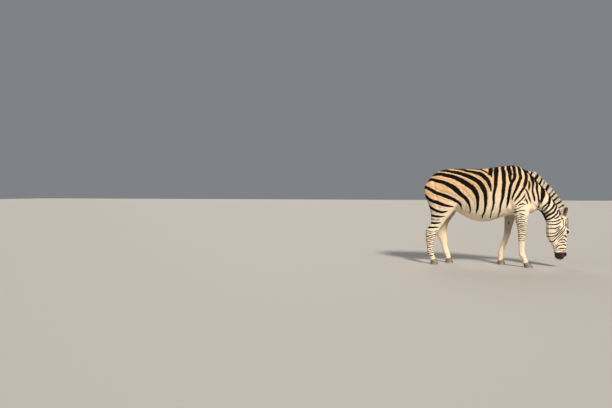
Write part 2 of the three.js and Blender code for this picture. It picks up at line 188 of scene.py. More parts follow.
def ear_axis(hand):
    """The ear's root, the way it points and the way its cup opens."""
    root = on_head(94, -92, hand * 60)
    along = unit(-0.94 * DOWN + hand * 0.3 * SIDE + 0.14 * FRONT)
    opens = hand * SIDE - 0.12 * FRONT
    return root, along, unit(opens - along * (opens @ along))


def by_ear(p, hand, start):
    """How far up the ear points are, and how far from its middle line."""
    root, along, _ = ear_axis(hand)
    up = (p - root) @ along
    reach = np.clip(up, start, EAR_LENGTH)
    return up, np.linalg.norm(p - root - np.outer(reach, along), axis=1)


def eye_axes(hand):
    """The eye's middle, its corner line, its lids' line and the way it looks."""
    look = unit(hand * 0.9 * SIDE + 0.42 * FRONT + 0.02 * DOWN)
    long = 0.93 * DOWN + 0.36 * FRONT
    long = unit(long - look * (long @ look))
    lids = np.cross(look, long) * hand
    if lids @ FRONT < 0:
        lids = -lids
    return on_head(EYE[0], EYE[1], hand * EYE[2]), long, lids, look


def eye_oval(p, hand, oval, reach):
    """Which points are by an eye, and how far out they are in an oval, 1 at its edge."""
    middle, long, lids, look = eye_axes(hand)
    length, height = oval
    q = p - middle
    out = np.hypot(q @ long / length, (q @ lids - 1) / height)
    return (np.linalg.norm(q, axis=1) < reach) & (q @ look > 0), out


def leg_lines(z):
    """How far forward the legs' middle lines are at these heights: near and far, fore and hind."""
    return [np.interp(z, *line.T) for line in (NEAR_FORE, FAR_FORE, NEAR_HIND, FAR_HIND)]


def side_chart(p):
    """Along and up, as if every point were on the near side and its legs."""
    x, y, z = p.T
    near_fore, far_fore, near_hind, far_hind = leg_lines(z)
    fore = (near_fore - far_fore) * ramp(x, 150, 320)
    hind = (near_hind - far_hind) * ramp(x, -120, -280)
    shift = (fore + hind) * ramp(y, 0, 45) * ramp(z, 900, 700)
    return np.column_stack([x + shift, z])


def before_leg(p):
    """How far in front of its own leg's middle line each point is."""
    x, y, z = p.T
    near_fore, far_fore, near_hind, far_hind = leg_lines(z)
    near, far = np.where(x > FORE_FROM, (near_fore, far_fore), (near_hind, far_hind))
    return x - np.where(y > 0, far, near)


# ---- mesh tools
def arrays(mesh):
    """A mesh's vertices and triangles."""
    v = np.empty(len(mesh.vertices) * 3)
    mesh.vertices.foreach_get("co", v)
    mesh.calc_loop_triangles()
    t = np.empty(len(mesh.loop_triangles) * 3, np.int64)
    mesh.loop_triangles.foreach_get("vertices", t)
    return v.reshape(-1, 3), t.reshape(-1, 3)


def rounded(mesh):
    """Shades a mesh as a round surface."""
    mesh.polygons.foreach_set("use_smooth", np.full(len(mesh.polygons), True))


def make(name, v, t):
    """An object from vertices and triangles, in row metres."""
    mesh = bpy.data.meshes.new(name)
    mesh.vertices.add(len(v))
    mesh.vertices.foreach_set("co", np.ascontiguousarray(v, np.float32).ravel())
    mesh.loops.add(len(t) * 3)
    mesh.loops.foreach_set("vertex_index", np.ascontiguousarray(t, np.int32).ravel())
    mesh.polygons.add(len(t))
    mesh.polygons.foreach_set("loop_start", np.arange(0, len(t) * 3, 3, dtype=np.int32))
    mesh.update(calc_edges=True)
    rounded(mesh)
    obj = bpy.data.objects.new(name, mesh)
    bpy.context.scene.collection.objects.link(obj)
    return obj


def place_points(obj, p):
    """Puts an object's vertices at places in the animal's millimetres."""
    obj.data.vertices.foreach_set("co", row(p).astype(np.float32).ravel())
    obj.data.update()


def give(obj, values):
    """Puts named values on an object's vertices."""
    for name, value in values.items():
        vector = value.ndim == 2
        kind, field = ("FLOAT_VECTOR", "vector") if vector else ("FLOAT", "value")
        layer = obj.data.attributes.new(name, kind, "POINT")
        layer.data.foreach_set(field, np.ascontiguousarray(value, np.float32).ravel())


def modify(obj, kind, **settings):
    """Adds a modifier with its settings."""
    modifier = obj.modifiers.new(kind.lower(), kind)
    for key, value in settings.items():
        setattr(modifier, key, value)


def applied(obj):
    """Gives the object the mesh that its modifiers make; returns its arrays."""
    graph = bpy.context.evaluated_depsgraph_get()
    mesh = bpy.data.meshes.new_from_object(obj.evaluated_get(graph))
    obj.modifiers.clear()
    old = obj.data
    obj.data = mesh
    bpy.data.meshes.remove(old)
    return arrays(mesh)


def weigh(obj, name, weight, step):
    """A vertex group, with the weights rounded to a step."""
    group = obj.vertex_groups.new(name=name)
    levels = np.round(weight / step).astype(int)
    order = np.argsort(levels, kind="stable")
    cuts = np.flatnonzero(np.diff(levels[order])) + 1
    for some in np.split(order, cuts):
        group.add(some.tolist(), float(levels[some[0]] * step), "REPLACE")


def joined(parts):
    """Several (vertices, triangles) as one."""
    at, vs, ts = 0, [], []
    for v, t in parts:
        vs.append(v)
        ts.append(t + at)
        at += len(v)
    return np.concatenate(vs), np.concatenate(ts)


def normals(v, t):
    n = np.cross(v[t[:, 1]] - v[t[:, 0]], v[t[:, 2]] - v[t[:, 0]])
    out = np.zeros_like(v)
    for c in range(3):
        for k in range(3):
            out[:, k] += np.bincount(t[:, c], n[:, k], len(v))
    return unit(out)


def ball(centre, radius, rings=24, around=32):
    """A fine closed ball as vertices and triangles."""
    v = [(0, 0, 1)]
    for i in range(1, rings):
        polar = math.pi * i / rings
        for j in range(around):
            turn = 2 * math.pi * j / around
            out = math.sin(polar)
            v.append((out * math.cos(turn), out * math.sin(turn), math.cos(polar)))
    v.append((0, 0, -1))
    t = []
    for j in range(around):
        k = (j + 1) % around
        t.append((0, 1 + j, 1 + k))
        for i in range(rings - 2):
            p = 1 + i * around
            q = p + around
            t += [(p + j, q + j, q + k), (p + j, q + k, p + k)]
        p = 1 + (rings - 2) * around
        t.append((p + j, len(v) - 1, p + k))
    return np.array(v, float) * radius + centre, np.array(t)


# ---- the skin
LEGS = [f"{end}_{side}_{part}" for end in ("foreleg", "hindleg")
        for side in ("right", "left") for part in ("upper", "lower")]
FLESH = ["croup", "barrel", "shoulders", "neck", "head", "tail_dock",
         "ear_right", "ear_left", *LEGS]
# metres: the solids grow a little, so that they meet, and one grid of this size joins them
FLESH_GROWTH = 0.0006
EAR_GROWTH = 0.0016
EYE_FILLING = 0.0225
GRID = 0.0034
SKIN_TRIANGLES = 182000

solids = []
for name in FLESH:
    v, t = arrays(NODES[name].data)
    growth = EAR_GROWTH if name.startswith("ear") else FLESH_GROWTH
    solids.append((v + normals(v, t) * growth, t))
for hand in HANDS:
    solids.append(ball(row(on_head(EYE[0], EYE[1], hand * EYE[2])), EYE_FILLING))
body = make("skin", *joined(solids))
modify(body, "REMESH", mode="VOXEL", voxel_size=GRID)
V, T = applied(body)

# the trunk is smoothed most, and the head and ears keep the most triangles
P = animal(V)
head, leg = head_share(P), leg_share(P)
to_ear = [near_line(P, [root + along * 20, root + along * EAR_LENGTH])
          for root, along, _ in map(ear_axis, HANDS)]
ear = ramp(np.min(to_ear, axis=0), 66, 50)
softness = 0.9 - 0.35 * ramp(P[:, 0], 480, 700)
for part, least in ((leg, 0.05), (head, 0.055), (ear, 0.012)):
    softness = mixed(softness, least, part)
weigh(body, "soft", softness, 0.005)
modify(body, "SMOOTH", factor=1, iterations=200, vertex_group="soft")
weigh(body, "coarse", 0.69 - np.max([0.27 * head, 0.02 * leg, 0.41 * ear], axis=0), 0.01)
modify(body, "DECIMATE", ratio=SKIN_TRIANGLES / len(T), vertex_group="coarse",
       vertex_group_factor=1.0)
V, T = applied(body)


# ---- finer parts of the head
EYE_CENTRES = [on_head(EYE[0], EYE[1] + 8, hand * (EYE[2] + 14)) for hand in HANDS]
EYE_AREA = 34
EYE_CORE = 27
# the nostrils, the lips and the mouth's corners
MUZZLE_CENTRES = [on_head(down, front, hand * side)
                  for down, front, side in ((530, -34, 48), (575, -98, 30), (525, -114, 44))
                  for hand in HANDS]
MUZZLE_AREA = 26


def refine(obj, centres, radius):
    """Splits the faces near some points of the head."""
    net = bmesh.new()
    net.from_mesh(obj.data)
    for c in centres:
        at = Vector(row(c))
        some = [e for e in net.edges
                if (e.verts[0].co - at).length < radius / 1000
                and (e.verts[1].co - at).length < radius / 1000]
        bmesh.ops.subdivide_edges(net, edges=some, cuts=1, use_grid_fill=True)
    bmesh.ops.triangulate(net, faces=[f for f in net.faces if len(f.verts) > 3])
    net.to_mesh(obj.data)
    net.free()


def eased(p, share, rounds):
    """Points drawn towards their neighbours, by a share, a number of times."""
    faces = T[share[T].max(axis=1) > 0]
    a = np.concatenate([faces[:, 0], faces[:, 1], faces[:, 2]])
    b = np.concatenate([faces[:, 1], faces[:, 2], faces[:, 0]])
    count = np.maximum(np.bincount(a, minlength=len(p)), 1)
    for _ in range(rounds):
        total = [np.bincount(a, p[b, k], len(p)) for k in range(3)]
        mean = np.column_stack(total) / count[:, None]
        p = p + (mean - p) * share[:, None]
    return p


refine(body, EYE_CENTRES, EYE_AREA)
refine(body, EYE_CENTRES, EYE_CORE)
refine(body, MUZZLE_CENTRES, MUZZLE_AREA)
V, T = arrays(body.data)
P = animal(V)
fine = np.zeros(len(P))
for spot, radius in [*((c, EYE_AREA) for c in EYE_CENTRES),
                     *((c, MUZZLE_AREA) for c in MUZZLE_CENTRES)]:
    fine = np.maximum(fine, ramp(np.linalg.norm(P - spot, axis=1), radius + 8, radius - 2))
V = row(eased(P, 0.8 * fine, 8))

# ---- bones, muscles and folds
# amount in millimetres (out is positive), radius, then points down, front, side
HEAD_FORMS = [
    (3.2, 8, ((262, -100, 86), (300, -108, 78), (345, -108, 67), (400, -104, 58))),
    (-3.0, 17, ((330, -150, 66), (410, -136, 52))),
    (4.5, 46, ((185, -190, 74),)),
    (-3.0, 10, ((60, -196, 66), (120, -238, 60), (180, -262, 50))),
    (-7.5, 15, ((186, -34, 66),)),
    (3.0, 18, ((206, -34, 88), (228, -20, 88), (258, -18, 86), (284, -30, 82))),
    (4.5, 15, ((204, -76, 94), (232, -92, 96), (264, -90, 92), (288, -74, 86))),
    (-3.0, 12, ((290, -26, 50), (360, -40, 46), (450, -52, 44))),
    (2.2, 9, ((290, -4, 22), (400, -14, 20), (480, -26, 20))),
    (-11, 19, ((240, -262, 0), (330, -246, 0), (430, -188, 0))),
    (2.5, 10, ((250, -262, 34), (330, -240, 34), (420, -190, 30))),
    (-5.0, 3.6, ((596, -92, 0), (592, -94, 18), (577, -98, 38), (548, -106, 48), (512, -118, 50))),
    (2.6, 7, ((590, -82, 16), (572, -86, 40), (545, -94, 51), (515, -106, 52))),
    (2.2, 7, ((590, -104, 14), (575, -110, 34), (548, -118, 44), (520, -128, 46))),
    (-3.5, 9, ((540, -142, 0), (535, -140, 30))),
    (-1.3, 2.6, ((520, -124, 47), (500, -134, 45), (484, -148, 42))),
    (-1.2, 2.6, ((508, -112, 50), (492, -110, 51), (474, -114, 52))),
    (-1.0, 2.6, ((506, -120, 49), (488, -124, 49), (470, -132, 47))),
    (-2.0, 5, ((498, -70, 50), (505, -50, 50), (500, -32, 44))),
    (4.0, 6, ((508, -44, 52), (516, -26, 46), (532, -20, 42), (548, -26, 42), (556, -40, 46))),
    (3.0, 6, ((556, -40, 46), (544, -52, 54), (524, -54, 56), (508, -44, 52))),
    (-17, 6.5, ((516, -40, 50), (530, -33, 46), (546, -36, 45))),
    (3.0, 20, ((560, -60, 0),)),
    (-1.6, 5, ((600, -76, 0), (575, -52, 0))),
    (-2.2, 6, ((56, -232, 40), (98, -214, 66))),
    (-1.8, 5, ((30, -236, 44), (74, -206, 70))),
]
# amount, radius, then points along and up, on the near side as it stands
BODY_FORMS = [
    (-7, 30, ((545, 1150), (600, 980), (608, 850))),
    (4, 20, ((450, 1180), (500, 1040), (545, 890))),
    (-9, 26, ((395, 1060), (352, 900), (372, 770), (402, 700))),
    (7, 55, ((445, 880), (455, 790))),
    (8, 30, ((590, 830),)),
    (6, 18, ((428, 696),)),
    (-5, 32, ((335, 700),)),
    (-9, 48, ((-235, 1085),)),
    (9, 30, ((-325, 1150),)),
    (-5, 18, ((-215, 960), (-262, 850), (-300, 740))),
    (7, 34, ((-312, 768),)),
    (-6, 18, ((-585, 1090), (-560, 950), (-528, 820), (-508, 700))),
    (5, 60, ((-430, 1010),)),
    (5, 22, ((-615, 1050),)),
    (4, 32, ((-500, 612),)),
    (-5, 11, ((-545, 575), (-585, 490))),
    (3.5, 12, ((-612, 420),)),
    (-3, 11, ((-590, 450),)),
    (3, 12, ((-598, 385),)),
    (-2.6, 6, ((-640, 345), (-640, 260), (-634, 190))),
    (-2.6, 6, ((491, 310), (492, 240), (497, 180))),
    (2.5, 13, ((510, 352),)),
    (2.5, 11, ((508, 318),)),
    (3.5, 10, ((477, 350),)),
    (3, 15, ((516, 140),)),
    (3, 15, ((-616, 140),)),
    (4.5, 22, ((512, 640), (506, 530))),
    (-3.2, 10, ((484, 650), (480, 560), (482, 470))),
    (-6, 22, ((640, 780), (740, 690), (800, 590))),
    (5, 42, ((640, 960), (760, 790), (850, 650))),
    (4, 22, ((905, 700),)),
    (-2.2, 7, ((790, 560), (835, 650), (850, 720))),
    (-1.8, 6, ((770, 600), (815, 680), (830, 750))),
]
BODY_STRENGTH = 1.25


def laid(points, tree):
    """Points of the right side of the head, moved to the skin."""
    out = []
    for d, f, s in points:
        spot = tree.find_nearest(Vector(row(on_head(d, f, -s))))[0]
        d, f, s = head_frame(animal(np.array(spot)[None]))
        out.append((d[0], f[0], abs(s[0])))
    return out


def modelled(p, n):
    """The skin with its bones, muscles and folds, in the animal's millimetres."""
    tree = BVHTree.FromPolygons(row(p).tolist(), T.tolist())
    d, f, s = head_frame(p)
    head = head_share(p)
    onto = np.column_stack([d, f, np.abs(s)])
    push = np.zeros(len(p))
    some = np.flatnonzero(head > 0.05)
    for amount, radius, points in HEAD_FORMS:
        away = near_line(onto[some], thread(laid(thread(points, 3), tree), 1))
        push[some] += amount * np.exp(-(away / radius) ** 2) * head[some]
    flat = side_chart(p)
    outward = ramp(np.abs(n[:, 1]), 0.15, 0.5) * (n[:, 1] * p[:, 1] > 0)
    outward = outward * (1 - head) * (p[:, 0] < 920)
    for amount, radius, points in BODY_FORMS:
        away = near_line(flat, thread(points, 4))
        push += BODY_STRENGTH * amount * np.exp(-(away / radius) ** 2) * outward
    return p + n * push[:, None]


P = modelled(animal(V), normals(V, T))

# ---- eyelids
SLIT_HALF = 17.5
UPPER_LID = 10.0
LOWER_LID = 7.5
# the lids' edge lies this far from the eye's middle, and the lids reach this far from it
LID_RADIUS = 22.0
LID_AREA = 46
SLIT_DEPTH = 7.5
CREASE_DEPTH = 1.9


def lid_line(u, upper):
    """The lid's edge at a place along the slit."""
    k = np.clip(1 - (u / SLIT_HALF) ** 2, 0, 1)
    if upper:
        return UPPER_LID * k ** 0.75 * (1 - 0.12 * u / SLIT_HALF)
    return -LOWER_LID * k ** 0.9 * (1 + 0.15 * u / SLIT_HALF)


def crease(off, width, u, end, full):
    """A fold along a lid, this far off it, that fades towards the corners."""
    return np.exp(-(off / width) ** 2) * ramp(np.abs(u), end, full)


def lidded(p, hand):
    """The skin with the lids laid on one eye and the slit sunk between them."""
    middle, long, lids, look = eye_axes(hand)
    rel = p - middle
    away = np.linalg.norm(rel, axis=1)
    some = np.flatnonzero((away < LID_AREA) & (rel @ look > 2))
    q, r = rel[some], away[some]
    u, v = q @ long, q @ lids
    above, below = v - lid_line(u, True), lid_line(u, False) - v
    gap = np.minimum(-above, -below)
    gap = np.where(np.abs(u) < SLIT_HALF, gap, -np.abs(np.abs(u) - SLIT_HALF) - 1)
    # the lids lie on the eye and thicken away from their edge
    shell = LID_RADIUS + 1.6 * ramp(gap, 0, -6) + 0.25 * np.clip(-gap - 6, 0, 30)
    r2 = mixed(r, np.minimum(r, shell), ramp(gap, -18, -7))
    r2 = np.maximum(r2, LID_RADIUS + 0.4 * ramp(gap, 0, -5))
    folds = crease(above - 5.5, 1.5, u, 22, 14)
    folds += 0.6 * crease(above - 10.5, 1.6, u, 20, 10)
    folds += 0.6 * crease(below - 5, 1.4, u, 18, 10)
    r2 = r2 - CREASE_DEPTH * folds
    r2 = np.where(gap > 0, LID_RADIUS - SLIT_DEPTH * ramp(gap, 0.0, 2.2), r2)
    p[some] = middle + q * (r2 / np.maximum(r, 1))[:, None]
    share = np.zeros(len(p))
    for amount, near, far, rounds in ((0.8, -5, -9, 12), (0.6, -1.5, -4, 2)):
        share[some] = amount * ramp(gap, near, far) * ramp(r, LID_AREA, LID_AREA - 4)
        p = eased(p, share, rounds)
    return p


for hand in HANDS:
    P = lidded(P, hand)
place_points(body, P)
N = normals(row(P), T)

# ---- markings
# dark stripes: along and up in millimetres on the near side, and half width
BODY_STRIPES = [
    ((-420, 1262, 6), (-225, 1236, 12), (-157, 1211, 16), (-78, 1196, 20), (7, 1173, 24), (62, 1125, 26),
     (101, 1071, 23), (120, 1019, 18), (130, 966, 8), (132, 944, 2)),
    ((-560, 1235, 8), (-506, 1226, 12), (-422, 1218, 15), (-327, 1203, 18), (-253, 1183, 20),
     (-180, 1158, 22), (-101, 1125, 26), (-36, 1085, 30), (17, 1032, 31), (50, 973, 29), (67, 900, 24),
     (69, 834, 20), (71, 775, 16), (57, 708, 13), (36, 646, 9), (18, 596, 4)),
    ((-700, 1140, 14), (-611, 1170, 16), (-542, 1178, 19), (-471, 1171, 21), (-390, 1153, 25),
     (-309, 1131, 27), (-236, 1094, 28), (-170, 1053, 30), (-104, 1005, 31), (-53, 949, 29),
     (-30, 887, 25), (-25, 827, 20), (-27, 774, 17), (-32, 714, 11), (-44, 664, 4)),
    ((-740, 1085, 17), (-664, 1101, 19), (-586, 1104, 21), (-500, 1082, 22), (-439, 1061, 26),
     (-378, 1034, 29), (-325, 1003, 30), (-279, 960, 29), (-233, 913, 26), (-174, 866, 24),
     (-142, 823, 21), (-126, 773, 15), (-119, 712, 9), (-122, 668, 3)),
    ((-760, 1028, 17), (-697, 1010, 19), (-654, 993, 20), (-612, 973, 20), (-544, 936, 20),
     (-477, 911, 20), (-398, 881, 21), (-332, 852, 22), (-277, 820, 20), (-239, 789, 15), (-225, 751, 8),
     (-223, 716, 3)),
    ((-760, 938, 17), (-691, 898, 17), (-632, 851, 18), (-577, 824, 20), (-510, 802, 21), (-437, 779, 19),
     (-378, 764, 13), (-326, 753, 3)),
    ((-760, 820, 13), (-690, 790, 15), (-640, 765, 16), (-607, 741, 18), (-544, 707, 18), (-478, 687, 16),
     (-418, 694, 8), (-396, 697, 2)),
    ((-700, 650, 12), (-616, 641, 14), (-546, 632, 13), (-482, 625, 10), (-433, 627, 2)),
    ((-700, 600, 5), (-610, 591, 6), (-540, 586, 5), (-496, 584, 1)),
    ((-700, 546, 14), (-615, 542, 15), (-582, 540, 15), (-534, 543, 11), (-484, 545, 3)),
    ((-720, 482, 12), (-652, 482, 13), (-602, 481, 13), (-548, 483, 10), (-510, 484, 3)),
    ((-260, 1262, 2), (-180, 1250, 5), (-107, 1245, 7), (-31, 1238, 8), (37, 1219, 8), (82, 1190, 7),
     (112, 1152, 2)),
    ((120, 1300, 30), (127, 1238, 27), (127, 1206, 26), (129, 1172, 18), (138, 1138, 6), (142, 1120, 1)),
    ((194, 1320, 24), (194, 1264, 26), (194, 1192, 28), (192, 1111, 25), (186, 1025, 21), (175, 953, 17),
     (167, 881, 15), (167, 815, 15), (158, 749, 11), (143, 688, 8), (122, 620, 5)),
    ((262, 1320, 20), (272, 1245, 22), (286, 1150, 23), (288, 1060, 22), (280, 945, 19), (262, 815, 14),
     (236, 695, 9), (208, 600, 4)),
    ((335, 1340, 20), (340, 1265, 23), (356, 1170, 23), (358, 1055, 2)),
    ((384, 1340, 14), (392, 1281, 16), (408, 1243, 19), (412, 1186, 20), (414, 1149, 20), (407, 1112, 19),
     (386, 1075, 18), (365, 1020, 17), (351, 962, 17), (338, 840, 14), (318, 735, 2)),
    ((446, 1310, 12), (455, 1267, 14), (473, 1224, 17), (480, 1167, 18), (479, 1111, 18), (465, 1063, 18),
     (449, 1020, 18), (427, 972, 15), (408, 928, 13), (392, 884, 9), (386, 846, 4)),
    ((500, 1262, 8), (512, 1241, 10), (535, 1213, 14), (548, 1179, 16), (555, 1141, 18), (551, 1104, 20),
     (542, 1063, 19), (533, 1027, 16), (523, 997, 12), (496, 959, 12), (472, 917, 11), (449, 884, 10),
     (431, 857, 9), (408, 825, 4)),
    ((536, 926, 2), (528, 898, 6), (509, 876, 6), (491, 850, 7), (471, 826, 6), (444, 802, 6),
     (420, 785, 3)),
    ((424, 764, 3), (449, 777, 4), (476, 789, 7), (503, 801, 7), (525, 797, 6), (543, 781, 2)),
    ((408, 728, 5), (449, 739, 6), (474, 751, 5), (498, 765, 3), (524, 763, 3)),
    ((405, 690, 6), (434, 702, 9), (458, 706, 6), (481, 714, 5), (512, 715, 5), (542, 703, 3)),
    ((440, 684, 3), (481, 683, 4), (503, 670, 7), (530, 663, 4)),
    ((536, 982, 3), (545, 974, 6), (562, 946, 11), (573, 917, 11), (584, 881, 10), (593, 850, 9),
     (605, 810, 3)),
    ((538, 874, 3), (545, 855, 8), (557, 829, 9), (568, 798, 4)),
    ((521, 852, 4), (524, 840, 4)),
    ((586, 1085, 4), (584, 1056, 11), (583, 1027, 12), (581, 998, 10), (584, 964, 2)),
    ((530, 1232, 7), (553, 1216, 8), (579, 1193, 10), (603, 1167, 13), (615, 1131, 15), (625, 1097, 17),
     (630, 1060, 16), (629, 1023, 12), (627, 990, 10), (627, 957, 9), (634, 917, 10), (643, 884, 10),
     (648, 858, 9), (651, 826, 3)),
    ((640, 1160, 13), (655, 1125, 15), (669, 1095, 15), (675, 1064, 14), (678, 1031, 13), (677, 998, 13),
     (679, 965, 13), (686, 925, 12), (694, 882, 11), (703, 838, 10), (708, 802, 9), (708, 775, 8),
     (698, 752, 5)),
    ((700, 1100, 11), (714, 1052, 13), (726, 1026, 14), (735, 1005, 13), (742, 985, 20), (749, 966, 27),
     (749, 930, 28), (747, 895, 26), (744, 870, 21), (740, 847, 17), (734, 816, 11), (731, 788, 3)),
    ((794, 960, 4), (813, 930, 5), (828, 906, 12), (834, 882, 17), (830, 846, 18), (818, 822, 12),
     (802, 806, 9), (781, 780, 9), (761, 758, 9), (740, 733, 5)),
    ((832, 846, 12), (828, 815, 11), (819, 780, 11), (798, 749, 11), (778, 723, 10), (755, 712, 8),
     (720, 709, 5)),
    ((868, 862, 4), (874, 838, 8), (887, 812, 12), (882, 780, 13), (866, 749, 13), (845, 723, 13),
     (820, 699, 12), (796, 681, 12), (774, 666, 12), (742, 650, 10)),
    ((904, 806, 4), (910, 784, 7), (913, 757, 10), (901, 729, 11), (887, 705, 12), (866, 683, 12),
     (841, 665, 12), (817, 651, 11), (794, 639, 9), (770, 626, 6)),
    ((686, 730, 7), (729, 704, 9), (754, 680, 12), (771, 639, 14), (788, 599, 12)),
]
# the same on the head: down, out through the face, and half width
CHEEK_STRIPES = [
    ((-48, -60, 6), (-21, -134, 9), (-1, -155, 9), (16, -164, 10), (35, -179, 10), (49, -195, 10),
     (67, -211, 10), (84, -234, 10), (100, -262, 9)),
    ((52, -152, 6), (62, -156, 8), (72, -169, 8), (80, -185, 7), (86, -208, 2)),
    ((-12, -120, 6), (11, -131, 9), (29, -137, 10), (46, -142, 5)),
    ((42, -112, 3), (64, -124, 9), (80, -111, 8), (90, -97, 4)),
    ((92, -121, 6), (97, -126, 3)),
    ((128, -262, 3), (126, -235, 5), (125, -214, 6), (122, -195, 7), (115, -174, 7), (101, -152, 7),
     (88, -139, 4)),
    ((160, -264, 3), (159, -237, 5), (159, -215, 7), (157, -188, 7), (144, -159, 7), (127, -139, 6),
     (108, -131, 3)),
    ((210, -262, 3), (210, -236, 5), (209, -215, 6), (207, -194, 7), (193, -171, 7), (174, -142, 4)),
    ((272, -256, 3), (271, -229, 5), (269, -204, 6), (257, -187, 5), (241, -167, 5), (215, -145, 4)),
    ((311, -252, 3), (310, -228, 5), (305, -206, 6), (294, -186, 5), (269, -164, 5), (241, -144, 5),
     (218, -124, 6), (194, -106, 4)),
    ((378, -232, 4), (376, -211, 6), (369, -194, 7), (344, -179, 5), (316, -156, 5), (292, -137, 5),
     (270, -122, 5), (253, -105, 5), (232, -88, 5), (208, -82, 3)),
    ((352, -158, 1), (330, -138, 4), (310, -122, 5), (290, -108, 5), (264, -92, 3)),
    ((384, -146, 1), (362, -130, 4), (344, -114, 5), (326, -97, 4), (308, -78, 2)),
    ((238, -194, 1), (222, -174, 3), (206, -156, 4), (177, -124, 1)),
    ((348, -217, 1), (322, -194, 3), (290, -164, 4), (262, -138, 4), (236, -114, 4), (214, -96, 1)),
    ((440, -166, 1), (416, -152, 4), (392, -130, 1)),
    ((358, -109, 2), (349, -93, 5), (343, -71, 7), (354, -48, 7), (366, -30, 6), (372, -6, 3)),
    ((380, -120, 3), (381, -91, 6), (380, -65, 6), (384, -44, 3)),
    ((408, -90, 3), (405, -61, 6), (413, -32, 8), (420, -6, 4)),
    ((462, -162, 3), (447, -149, 5), (430, -139, 6), (419, -124, 7), (417, -97, 5), (420, -84, 2)),
    ((456, -130, 3), (457, -98, 7), (456, -68, 7), (457, -36, 6), (460, -6, 3)),
    ((288, -86, 3), (299, -65, 8), (310, -43, 8), (322, -14, 4)),
    ((480, -150, 3), (476, -128, 4), (478, -100, 2)),
    ((66, -100, 5), (94, -98, 5), (119, -100, 5), (143, -98, 5), (168, -93, 4), (200, -104, 2)),
    ((20, -64, 2), (65, -66, 4), (102, -66, 5), (130, -72, 5), (155, -71, 5), (184, -74, 5),
     (212, -80, 2)),
    ((10, -36, 3), (52, -34, 5), (83, -38, 6), (112, -46, 6), (139, -50, 7), (174, -50, 7), (198, -42, 5),
     (214, -34, 1)),
    ((30, -16, 3), (69, -18, 5), (100, -22, 6), (150, -28, 6), (190, -20, 6), (222, -10, 5), (258, -6, 4),
     (292, -10, 2)),
]
# faint brown stripes between the dark ones of the quarters and flank
SHADOW_STRIPES = [
    ((-650, 1028, 4), (-545, 999, 6), (-457, 953, 7), (-384, 934, 8), (-305, 903, 7), (-256, 876, 3)),
    ((-650, 930, 3), (-544, 888, 5), (-437, 848, 5), (-340, 820, 3)),
    ((-545, 1138, 3), (-441, 1112, 5), (-347, 1081, 6), (-247, 1020, 7), (-175, 966, 8), (-123, 906, 8),
     (-90, 864, 10), (-70, 828, 7), (-72, 760, 4), (-80, 700, 2)),
    ((-380, 1180, 3), (-251, 1138, 5), (-151, 1096, 7), (-73, 1039, 8), (-15, 979, 8), (17, 907, 7),
     (24, 820, 4), (22, 740, 3)),
    ((-240, 1214, 3), (-120, 1186, 5), (-20, 1142, 7), (50, 1076, 7), (92, 1000, 6), (106, 900, 4),
     (104, 800, 2)),
    ((-690, 850, 4), (-600, 792, 5), (-500, 752, 5), (-420, 735, 3)),
    ((-680, 720, 4), (-590, 690, 5), (-500, 660, 5), (-440, 655, 3)),
    ((-180, 850, 3), (-165, 790, 6), (-168, 730, 5), (-178, 690, 2)),
]
TAIL_DOCK = np.array([
    (-606, 0, 1130), (-650, 0, 1096), (-672, 0, 1040), (-684, 0, 960), (-676, 2, 880),
], float)
# a half width that leaves no band, and how far apart the bands are
NO_BAND = -20.0
FORE_BANDS = 27
HIND_BANDS = 26
DOCK_BANDS = 40
FACE_BANDS = 11.5


def depth_in(flat, stripes, reach=45):
    """How far inside the stripes each point of a chart is, in millimetres."""
    best = np.full(len(flat), -float(reach))
    for stripe in stripes:
        line = thread(stripe)
        low = line[:, :2].min(axis=0) - reach
        high = line[:, :2].max(axis=0) + reach
        some = np.flatnonzero(np.all((flat > low) & (flat < high), axis=1))
        q, d = flat[some], best[some]
        for a, b in zip(line[:-1], line[1:]):
            ab = b[:2] - a[:2]
            k = np.clip(((q - a[:2]) @ ab) / (ab @ ab), 0, 1)
            away = np.hypot(*(q - a[:2] - k[:, None] * ab).T)
            d = np.maximum(d, a[2] + k * (b[2] - a[2]) - away)
        best[some] = d
    return best


def outness(p, n):
    """1 where the skin faces away from the animal's middle plane, -1 where it faces it."""
    return n[:, 1] * np.sign(p[:, 1])


def trunk_stripes(p, n):
    """How far inside the trunk's and neck's stripes points are, and their brown shadows."""
    x, y, z = p.T
    # the stripes waver, and the far side's ones differ
    left = ramp(y, 0, 60)
    chart = side_chart(p)
    chart[:, 0] += 3.5 * waves(p, 120, 3) + left * 13 * np.sin(z / 95 + 1)
    chart[:, 1] += 3.5 * waves(p, 110, 4) + left * 11 * np.sin(x / 120)
    dark = depth_in(chart, BODY_STRIPES) + 1.5 * waves(p, 45, 5) + 0.9
    dark += (0.8 + 0.8 * ramp(x, 150, 330) - 1.4 * ramp(x, 640, 720)) * ramp(z, 720, 880)
    # none inside the legs and under the belly
    out = outness(p, n)
    dark -= 30 * ramp(out, 0.1, -0.35) * ramp(z, 760, 640) * (x < NECK_FROM)
    dark -= 40 * ramp(n[:, 2], -0.86, -0.99) * (z > 480) * (x < NECK_FROM)
    return dark, ramp(depth_in(chart, SHADOW_STRIPES, 20), -5, 4)


